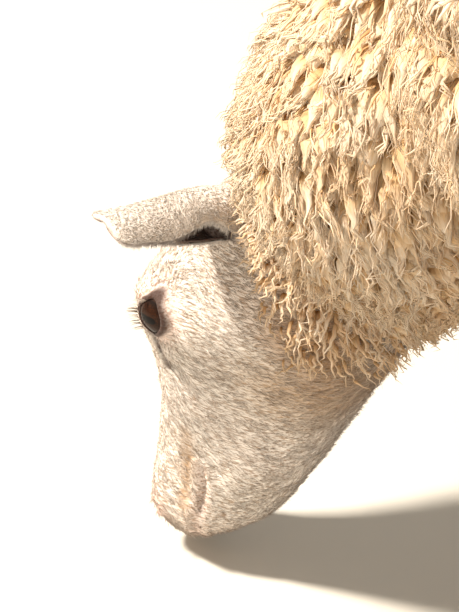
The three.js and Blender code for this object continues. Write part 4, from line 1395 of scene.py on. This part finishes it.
# Shapes of locks in millimetres: how far they slide over the coat, how they bend over it, the
# length and size of their crimp, their curl, and the steps, sides and widths of cores and strands.
FINE = {
    "bend": 95.0, "wave": 13.0, "crimp": 1.5, "curl": 3.6, "steps": 11, "sides": 6, "width": 5.4,
    "strands": 4, "strand_steps": 11, "strand": 0.6,
}
BROAD = {
    "bend": 180.0, "wave": 24.0, "crimp": 3.2, "curl": 6.0, "steps": 8, "sides": 5, "width": 9.0,
    "strands": 2, "strand_steps": 7, "strand": 1.7,
}
MATTED = {
    "slide": 17.0, "bend": 60.0, "wave": 9.0, "crimp": 1.6, "curl": 2.6, "steps": 8, "sides": 5,
    "width": 5.0, "strands": 2, "strand_steps": 7, "strand": 0.5,
}
SHORT = {
    "slide": 56.0, "bend": 60.0, "wave": 16.0, "crimp": 2.0, "curl": 6.0, "steps": 6, "sides": 5,
    "width": 15.0, "strands": 1, "strand_steps": 5, "strand": 1.7,
}
HEAD_CURL = {"slide": 26.0, "bend": 60.0, "wave": 8.5, "crimp": 1.5, "curl": 2.6}
FINE_SLIDE, BROAD_SLIDE = 600, 680  # millimetres for each metre of the lock length
WOOL_SPANS = (("neck", neck, 0.02, 0.7), ("trunk", trunk, 0.02, 0.98))
NAPE_SPACING, NAPE_SPAN = 8.2, (0.64, 0.93)
TAIL_SPACING, LEG_SPACING = 0.7, 0.76  # as shares of the spacing over the body


def tips_of(surface):
    """The tips of a surface of the coat, as a function of b and a alone."""
    return lambda b, a: surface(b, a, 1.0)


def upper_leg(name):
    """The woolly part of a leg as a surface of the coat: b runs from below its joint to its top."""
    _, _, table, _, joint = LEGS[name]
    low, high = joint - 18, table[0][0]
    return lambda b, a, share: leg(name, low + (high - low) * b, a, share)


def make_wool(settings):
    """All the long wool: fine locks on the left of the neck, broader ones over the body."""
    rng = np.random.default_rng(7)
    material = wool_material(settings)
    wool_base(settings)
    near, far = settings.near_spacing * 1000, settings.far_spacing * 1000
    fine = {"slide": settings.lock_length * FINE_SLIDE, **FINE}
    broad = {"slide": settings.lock_length * BROAD_SLIDE, **BROAD}
    for name, surface, low, high in WOOL_SPANS:
        for kind, spacing, shape in (("fine", near, fine), ("broad", far, broad)):
            b, a = scattered(tips_of(surface), spacing, low, high, rng)
            tips = surface(b, a, 1.0)
            normal = surface_normal(tips_of(surface), b, a)
            keep = (fine_side(tips, normal) == (kind == "fine")) & exposed(name, tips)
            if keep.any():
                split_locks(f"wool_{name}_{kind}", surface, b[keep], a[keep], shape, rng, material)
    b, a = scattered(tips_of(neck), NAPE_SPACING, *NAPE_SPAN, rng)
    split_locks("wool_nape", neck, b, a, MATTED, rng, material)
    b, a = scattered(tips_of(tail), far * TAIL_SPACING, 0.02, 0.97, rng)
    made = [lock_set(tail, b, a, SHORT, rng)]
    for name in LEGS:
        b, a = scattered(tips_of(upper_leg(name)), far * LEG_SPACING, 0.02, 0.9, rng)
        made.append(lock_set(upper_leg(name), b, a, SHORT, rng))
    finish_piece(new_mesh("wool_legs_and_tail", joined(made)), material)
    make_head_wool(material)


HEAD_WOOL_COUNT = 3100  # curls tried, of which those near the face are left out
HEAD_WOOL_U = (-22, 118)
# thickness, steps, sides and flatness of the curls and of the thin strands among them
HEAD_WOOL_KINDS = ((2.4, 7, 5, 0.6), (0.5, 9, 3, 1.0))


def make_head_wool(material):
    """Short woolly curls on the back of the head, longest at the neck and on the throat."""
    rng = np.random.default_rng(23)
    low, high = HEAD_WOOL_U
    u = rng.uniform(low, high, HEAD_WOOL_COUNT)
    t = rng.uniform(0, 1, HEAD_WOOL_COUNT)
    bare = section(u, t)
    # from 1 at the neck to 0 at u = 26 on the crown and at u = 118 on the throat
    reach = 1 - ramp(-14, 26 + 92 * ramp(-14, -72, bare[:, 1]), u)
    keep = reach > rng.uniform(0.16, 0.75, HEAD_WOOL_COUNT)
    u, t, bare, reach = (k[keep] for k in (u, t, bare, reach))
    root, normal = placed(bare), across_faces(section, u, t) @ HEAD_AXES
    lie = hanging(root, normal, rng, 38.0)
    out = normal * (4 + 15 * reach)[:, None]
    across = np.cross(normal, lie)
    uv = np.stack([t, (u - low) / (high - low)], -1)
    tone = rng.uniform(0.1, 0.9, len(u))
    parts = []
    for thickness, steps, sides, thin in HEAD_WOOL_KINDS:
        traits = lock_traits(len(u), rng)
        path = lock_paths(root - 0.5 * normal, out, normal, lie, steps, HEAD_CURL, traits)
        s = np.linspace(0, 1, steps + 1)[None, :-1]
        radius = thickness * (0.3 + 0.7 * reach)[:, None] * (1 - s) ** 0.8
        part = with_values(tubes(path, radius, across, sides, thin), tone, uv, 1.2, length_of(path))
        # short curls let light in to their roots
        part["values"]["tint"] = 0.34 + 0.66 * part["values"]["tint"]
        parts.append(part)
    finish_piece(new_mesh("wool_head", joined(parts)), material)


NECK_CORE = 0.84  # the share of the neck's half-width within which the trunk has no locks
CHEST_Y, CHEST_BOTTOM, CHEST_TOP = -205, 330, 560  # the neck has no locks within the chest


def exposed(name, points):
    """True where a point of the trunk's or the neck's coat isn't deep inside the other's."""
    if name == "trunk":
        k = np.linspace(0, 1, 36)[:, None]
        across = neck(k, np.array([[0.0, 0.5]]), 1.0)
        reach = np.linalg.norm(across[:, 0] - across[:, 1], axis=-1) / 2
        wide = neck(k[:, 0], np.full(36, 0.25), 1.0)[:, 0]
        gap = np.linalg.norm(points[:, None] - across.mean(1), axis=-1)
        return (gap - np.minimum(reach, wide) * NECK_CORE).min(1) > 0
    x, y, z = points.T
    inside = np.abs(x) < along(TRUNK_WIDTH, y) + 30
    return ~(inside & (y > CHEST_Y) & (z < CHEST_TOP) & (z > CHEST_BOTTOM))


# ---- short hair --------------------------------------------------------------------------


HAIR_MARKS_AND_SHADE = [0.35, 0.85, 1.0]  # how much of the skin's pink, tan and dark the hair shows
HAIR_FLATNESS, HAIR_BEND = 0.6, 0.12  # thickness over width, and bend as a share of the length
HAIR_ASTRAY = 0.22  # radians from the lie
FACE_HAIR_U = (-12, 250)
BALD_LINES = ((NOSTRIL_LINE, 3.2), (MOUTH_LINE, 1.0), (TEAR_LINE, 1.2))  # and how far from them
BALD_LIDS = 1.42  # the e within which the lids are bare
# how many hairs, the share of the ear's width from its edge, and the roots' offset to its back
EAR_HAIRS = ((6200, 0.5, 1.2), (4400, 0.04, 0.0), (1200, 0.5, -1.2))
LEG_HAIRS, LEG_HAIR_FOOT = 3000, 38  # hairs on each leg, and the height where they begin
LASHES = 46


def slivers(root, normal, lie, length, width, rng, uv, tone_low=0.0):
    """Short hairs: thin spikes of three sides, from root to root + size (lie + bend + rise normal)."""
    count = len(root)
    size = length * rng.uniform(0.7, 1.3, count)[:, None]
    astray = rng.normal(0, HAIR_ASTRAY, count)[:, None]
    way = lie * np.cos(astray) + np.cross(normal, lie) * np.sin(astray)
    bend = np.cross(normal, way) * rng.normal(0, HAIR_BEND, count)[:, None]
    start = root - 0.2 * normal
    end = root + size * (way + bend + rng.uniform(0.1, 0.34, count)[:, None] * normal)
    radii = width * rng.uniform(0.7, 1.2, count)[:, None]
    made = tubes(np.stack([start, end], 1), radii, np.cross(normal, way), 3, HAIR_FLATNESS)
    tone = rng.uniform(tone_low, 1, count)
    owner = made["owner"]
    marks = np.clip(markings_and_shade(root) * HAIR_MARKS_AND_SHADE, 0, 1)
    made["values"] = {"tint": made["share"], "tone": tone[owner], "marks": marks[owner]}
    made["uvs"] = patches(made, uv)
    return made


def face_lie(head, normal):
    """Lie of the face's hair in u, v, w: back from the nose, down the cheek, away from the eye."""
    v, w = head[:, 1], head[:, 2]
    x, y, _, _ = lid_frame(head)
    cheek = cheek_share(v, w)
    base = np.stack([0.68 * cheek - 1, -cheek, 0.25 * np.sign(w) * ramp(0, 30, v)], -1)
    away = x[:, None] * SLIT + y[:, None] * LID_UP
    away[:, 2] *= np.sign(w)
    pull = 2.2 * bump(np.hypot(x, y), 22) * (np.abs(w) > 25)
    return flat_on(base + pull[:, None] * unit(away), normal)


def make_face_hair(settings, material):
    """Short hair all over the head, longest on cheek and jaw, in a piece for each side."""
    rng = np.random.default_rng(11)
    start, end = FACE_HAIR_U
    for name, low, high in (("left", 0.0, 0.5), ("right", 0.5, 1.0)):
        u = rng.uniform(start, end, settings.face_hairs)
        t = rng.uniform(low, high, settings.face_hairs)
        head, normal = face(u, t), across_faces(face, u, t)
        left = mirrored(head)
        _, _, _, e = lid_frame(head)
        bald = (e < BALD_LIDS) & (left[:, 2] > 30)
        for line, clear in BALD_LINES:
            bald |= to_line(left, line) < clear
        u, t, head, normal, e = (k[~bald] for k in (u, t, head, normal, e))
        lie = face_lie(head, normal)
        jowl = 3.0 * ramp(-30, -80, head[:, 1]) * ramp(140, 60, head[:, 0])
        length = 4.2 + 2.8 * ramp(230, 90, head[:, 0]) + jowl
        length = (length * (0.45 + 0.55 * ramp(1.2, 2.2, e)))[:, None]
        uv = np.stack([(t - low) * 2, (u - start) / (end - start)], -1)
        normal, lie = normal @ HEAD_AXES, lie @ HEAD_AXES
        made = slivers(placed(head), normal, lie, length, settings.hair_width * 500, rng, uv)
        finish_piece(new_mesh(f"face_hair_{name}", made), material)


def make_ear_hair(settings, material):
    """Hair on the ears: over the back, a fringe along both edges, and a little in the hollow."""
    rng = np.random.default_rng(13)
    for name, side in (("left", 1), ("right", -1)):
        parts = []
        for count, edge, offset in EAR_HAIRS:
            fringe = edge < 0.5
            t = rng.uniform(0.06, 0.975, count)
            q = rng.uniform(-0.5, 0.5, count)
            if fringe:
                q = np.sign(q) * (0.5 - edge * rng.uniform(0, 1, count))
            root = ear(t, q, offset, side)
            normal = unit(root - ear(t, q, -6.0 if offset >= 0 else 6.0, side))
            lie = flat_on(ear(t + 0.02, q, offset, side) - ear(t - 0.02, q, offset, side), normal)
            if fringe:
                rim = np.sign(q)
                aside = unit(ear(t, rim * 0.5, 0, side) - ear(t, rim * 0.42, 0, side))
                lie = unit(lie + 1.1 * aside)
                normal = flat_on(normal, lie)
            length = ((4.2 if fringe else 4.6) * (1 - 0.4 * ramp(0.85, 1, t)))[:, None]
            uv = np.stack([q + 0.5, t], -1)
            width = settings.hair_width * 420
            parts.append(slivers(root, normal, lie, length, width, rng, uv, 0.55))
        finish_piece(new_mesh(f"ear_hair_{name}", joined(parts)), material)


def make_leg_hair(settings, material):
    """Short hair down the legs to the hooves, longest just over them."""
    rng = np.random.default_rng(17)
    parts = []
    for order, (name, (_, _, _, _, joint)) in enumerate(LEGS.items()):
        low, high = LEG_HAIR_FOOT, joint + 10
        z = rng.uniform(low, high, LEG_HAIRS)
        a = rng.uniform(0, 1, LEG_HAIRS)
        root = leg(name, z, a, LEG_SKIN)
        normal = unit((root - leg(name, z, a + 0.5, LEG_SKIN)) * [1, 1, 0] + [0, 0, 1e-6])
        lie = flat_on(np.zeros_like(root) + [0, 0.15, -1.0], normal)
        length = (5.0 + 3.0 * ramp(60, 40, z))[:, None]
        uv = np.stack([(a + order) / 4, (z - low) / (high - low)], -1)
        parts.append(slivers(root, normal, lie, length, settings.hair_width * 500, rng, uv, 0.3))
    finish_piece(new_mesh("leg_hair", joined(parts)), material)


def make_lashes(material):
    """Lashes: thin curved spikes along the upper lid's edge, pointing out and down."""
    rng = np.random.default_rng(19)
    parts = []
    for sign in (1, -1):
        x = rng.uniform(-0.92, 0.9, LASHES) * LID_LENGTH
        past = (x / LID_LENGTH) ** 2
        height = LID_UPPER * (1 - LID_NARROWING * past) * np.sqrt(1 - past)
        z = np.sqrt((EYE_RADIUS + 1.8) ** 2 - x**2 - height**2)
        root = x[:, None] * SLIT + height[:, None] * LID_UP + z[:, None] * GAZE + EYE_PLACE
        out = unit(0.75 * GAZE + 0.5 * LID_UP + (x / 30)[:, None] * SLIT - 0.25 * SLIT)
        s = np.linspace(0, 1, 6)[None, :, None]
        size = rng.uniform(6, 10, LASHES)[:, None, None]
        path = root[:, None] + out[:, None] * size * s - LID_UP * size * 0.35 * s**2
        radii = 0.22 * (1 - 0.7 * s[:, :-1, 0]) * np.ones((LASHES, 1))
        made = tubes(placed(path, sign), radii, np.tile(AXIS, (LASHES, 1)), 3)
        tone = rng.uniform(0.3, 1, LASHES)[made["owner"]]
        marks = np.tile([0.0, 0.15, 0.1], (len(tone), 1))
        made["values"] = {"tint": made["share"], "tone": tone, "marks": marks}
        made["uvs"] = patches(made, np.stack([0.5 + sign * 0.25 + x / 100, 0 * x + 0.5], -1))
        parts.append(made)
    finish_piece(new_mesh("eyelashes", joined(parts)), material)


# ---- stage -------------------------------------------------------------------------------

FLOOR_RADIUS, FLOOR_SIDES = 14.0, 96
LENS, SENSOR, CAMERA_DISTANCE = 505.0, 36.0, 4.5  # millimetres, millimetres and metres
LAMP_AIM = np.array([0.0, -0.2, 0.4])
WORLD_COLOUR, WORLD_STRENGTH = "#f4ebdd", 0.4


def make_floor():
    """A pale painted floor, round and flat."""
    material, tree = new_material("Matt painted floor")
    # roller texture about 8 mm across, only just visible
    normal = raised(tree, noise(tree, object_place(tree), 120.0, 3.0), 0.05, 0.0005)
    finish_material(tree, {"Base Color": linear("#cfccc4"), "Roughness": 0.85, "Normal": normal})
    a = 2 * math.pi * np.arange(FLOOR_SIDES) / FLOOR_SIDES
    ring = FLOOR_RADIUS * np.stack([np.cos(a), np.sin(a), 0 * a], -1)
    mesh = bpy.data.meshes.new("floor")
    mesh.from_pydata(ring.tolist(), [], [list(range(FLOOR_SIDES))])
    mesh.materials.append(material)
    new_object("floor", mesh)


def aimed(name, data, back, right, place):
    """A camera or a lamp at a place, facing away from the way back, with its x to the right."""
    obj = new_object(name, data)
    matrix = np.eye(4)
    matrix[:3, :3] = np.stack([right, unit(np.cross(back, right)), back], 1)
    matrix[:3, 3] = place
    obj.matrix_world = Matrix(matrix.tolist())
    return obj


def make_camera():
    """A long lens that looks down on the face and the neck from the left."""
    back = unit(VIEW_BACK)
    lens = bpy.data.cameras.new("camera")
    lens.lens, lens.sensor_width, lens.clip_end = LENS, SENSOR, 100.0
    place = VIEW_TARGET + back * CAMERA_DISTANCE
    bpy.context.scene.camera = aimed("camera", lens, back, unit(VIEW_RIGHT), place)


def make_lamps(settings):
    """A small key lamp high on the left, and wide lamps lower on the left and behind."""
    for name, way, distance, size, power, colour in (
        ("key", (0.42, -0.60, 0.82), 3.2, 0.4, settings.key_power, "#fff4e6"),
        ("fill", (0.95, 0.55, 0.35), 3.6, 2.6, settings.fill_power, "#fff8ee"),
        ("rim", (-0.8, 0.5, 0.75), 3.6, 2.0, settings.fill_power * 0.6, "#ffffff"),
    ):
        lamp = bpy.data.lights.new(name, "AREA")
        lamp.energy, lamp.size, lamp.color = power, size, linear(colour)[:3]
        back = unit(np.array(way))
        aimed(name, lamp, back, unit(np.cross([0, 0, 1], back)), LAMP_AIM + back * distance)


def make_stage(settings):
    """The floor, the camera, the lamps and a pale world."""
    scene = bpy.context.scene
    scene.view_settings.view_transform = "Standard"
    make_floor()
    make_camera()
    make_lamps(settings)
    scene.world = bpy.data.worlds.new("studio")
    scene.world.use_nodes = True
    background = scene.world.node_tree.nodes["Background"]
    background.inputs["Color"].default_value = linear(WORLD_COLOUR)
    background.inputs["Strength"].default_value = WORLD_STRENGTH


# ---- settings, operators, panel ----------------------------------------------------------


def colour_setting(name, text, description):
    """A colour property whose default is an sRGB hex value."""
    return bpy.props.FloatVectorProperty(
        name=name, description=description, default=linear(text)[:3], subtype="COLOR", min=0, max=1
    )


def number_setting(name, value, description, unit="LENGTH"):
    """A number property: a length in metres, or a power in watts."""
    return bpy.props.FloatProperty(name=name, description=description, default=value, unit=unit)


class EweWoolSettings(bpy.types.PropertyGroup):
    """Sizes and colours of the long wool."""

    near_spacing: number_setting("Fine spacing", 0.00945, "Between locks on the left of the neck")
    far_spacing: number_setting("Body spacing", 0.0247, "Between locks elsewhere")
    lock_length: number_setting("Lock length", 0.065, "Of a lock's wool, drawn straight")
    tip: colour_setting("Tips", "#fff4e3", "Weathered tips of the locks")
    mid: colour_setting("Middle", "#ebc792", "Wool below the tips")
    # lanolin yellow, and also painted shade of the gaps between locks
    deep: colour_setting("Deep", "#a8662a", "Wool near the skin, yellow with lanolin")


class EweCoatSettings(bpy.types.PropertyGroup):
    """Sizes and colours of the short coat and the skin."""

    face_hairs: bpy.props.IntProperty(
        name="Face hairs", description="Hairs tried on each side of the head", default=18500
    )
    hair_width: number_setting("Hair width", 0.00056, "Across a hair")
    cream: colour_setting("Cream", "#f3ede6", "Lit strokes of the white hair")
    cream_shadow: colour_setting("Cream shadow", "#ac9987", "Between the strokes")
    # stained hair, and also painted shade under the jaw
    tan: colour_setting("Tan", "#b6946f", "Stained hair on jaw and throat")
    pink: colour_setting("Pink", "#d9a596", "Bare skin")
    # the hollow of the ear takes this colour partly as painted shade
    dark: colour_setting("Dark", "#33190f", "Rims of the lids, nostrils and hollow of the ear")


class EweEyeSettings(bpy.types.PropertyGroup):
    """Sizes and colours of the eyes."""

    pupil_length: number_setting("Pupil length", 0.0112, "Along the level slit")
    pupil_height: number_setting("Pupil height", 0.0042, "Across the slit")
    iris: colour_setting("Iris", "#3a1e0d", "Lit folds of the iris")
    iris_dark: colour_setting("Iris edge", "#140905", "Between the folds and at the edge")


class EweHornSettings(bpy.types.PropertyGroup):
    """Colours of the hooves."""

    horn: colour_setting("Horn", "#7b6850", "Between the growth rings")
    horn_dark: colour_setting("Horn rings", "#4d3f31", "In the growth rings")


class EweStageSettings(bpy.types.PropertyGroup):
    """Light of the stage."""

    key_power: number_setting("Key", 270.0, "Power of the key lamp", "POWER")
    fill_power: number_setting("Fill", 28.0, "Power of the fill lamp", "POWER")


class EWE_OT_skin(bpy.types.Operator):
    """Builds the one skin over head, ears, neck, trunk, tail and legs"""

    bl_idname = "ewe.skin"
    bl_label = "Skin"

    def execute(self, context):
        skin = make_skin(context.scene.ewe_coat)
        if len(skin.data.polygons) < 50000:
            raise RuntimeError("the parts of the skin didn't unite")
        return {"FINISHED"}


class EWE_OT_eyes(bpy.types.Operator):
    """Builds the two eyeballs"""

    bl_idname = "ewe.eyes"
    bl_label = "Eyes"

    def execute(self, context):
        material = eye_material(context.scene.ewe_eye)
        for name, sign in (("left", 1), ("right", -1)):
            make_eye(name, sign, material)
        return {"FINISHED"}


class EWE_OT_hooves(bpy.types.Operator):
    """Builds the claws and dewclaws"""

    bl_idname = "ewe.hooves"
    bl_label = "Hooves"

    def execute(self, context):
        make_hooves(context.scene.ewe_horn)
        return {"FINISHED"}


class EWE_OT_wool(bpy.types.Operator):
    """Builds the long wool of neck, trunk, tail and upper legs, and the curls behind the face"""

    bl_idname = "ewe.wool"
    bl_label = "Wool"

    def execute(self, context):
        make_wool(context.scene.ewe_wool)
        return {"FINISHED"}


class EWE_OT_hair(bpy.types.Operator):
    """Builds the short hair of face, ears and legs, and the lashes"""

    bl_idname = "ewe.hair"
    bl_label = "Short hair"

    def execute(self, context):
        settings = context.scene.ewe_coat
        material = hair_material(settings)
        make_face_hair(settings, material)
        make_ear_hair(settings, material)
        make_leg_hair(settings, material)
        make_lashes(material)
        return {"FINISHED"}


class EWE_OT_stage(bpy.types.Operator):
    """Builds the floor, the lamps, the world and the camera"""

    bl_idname = "ewe.stage"
    bl_label = "Stage"

    def execute(self, context):
        make_stage(context.scene.ewe_stage)
        return {"FINISHED"}


OPERATORS = (EWE_OT_skin, EWE_OT_eyes, EWE_OT_hooves, EWE_OT_wool, EWE_OT_hair, EWE_OT_stage)
GROUPS = {
    "ewe_wool": EweWoolSettings,
    "ewe_coat": EweCoatSettings,
    "ewe_eye": EweEyeSettings,
    "ewe_horn": EweHornSettings,
    "ewe_stage": EweStageSettings,
}


class EWE_PT_panel(bpy.types.Panel):
    """Lists the pieces of the ewe and their settings"""

    bl_label = "Ewe"
    bl_space_type = "VIEW_3D"
    bl_region_type = "UI"
    bl_category = "Ewe"

    def draw(self, context):
        for operator in OPERATORS:
            self.layout.operator(operator.bl_idname)
        for name, group in GROUPS.items():
            box = self.layout.box()
            for key in group.__annotations__:
                box.prop(getattr(context.scene, name), key)


def register():
    """Registers the settings, the operators and the panel."""
    for cls in (*GROUPS.values(), *OPERATORS, EWE_PT_panel):
        bpy.utils.register_class(cls)
    for name, group in GROUPS.items():
        setattr(bpy.types.Scene, name, bpy.props.PointerProperty(type=group))


def unregister():
    """Takes away what register() added."""
    for name in GROUPS:
        delattr(bpy.types.Scene, name)
    for cls in (EWE_PT_panel, *OPERATORS[::-1], *list(GROUPS.values())[::-1]):
        bpy.utils.unregister_class(cls)


def main():
    register()
    bpy.ops.ewe.stage()
    bpy.ops.ewe.skin()
    bpy.ops.ewe.eyes()
    bpy.ops.ewe.hooves()
    bpy.ops.ewe.wool()
    bpy.ops.ewe.hair()


if __name__ == "__main__":
    main()
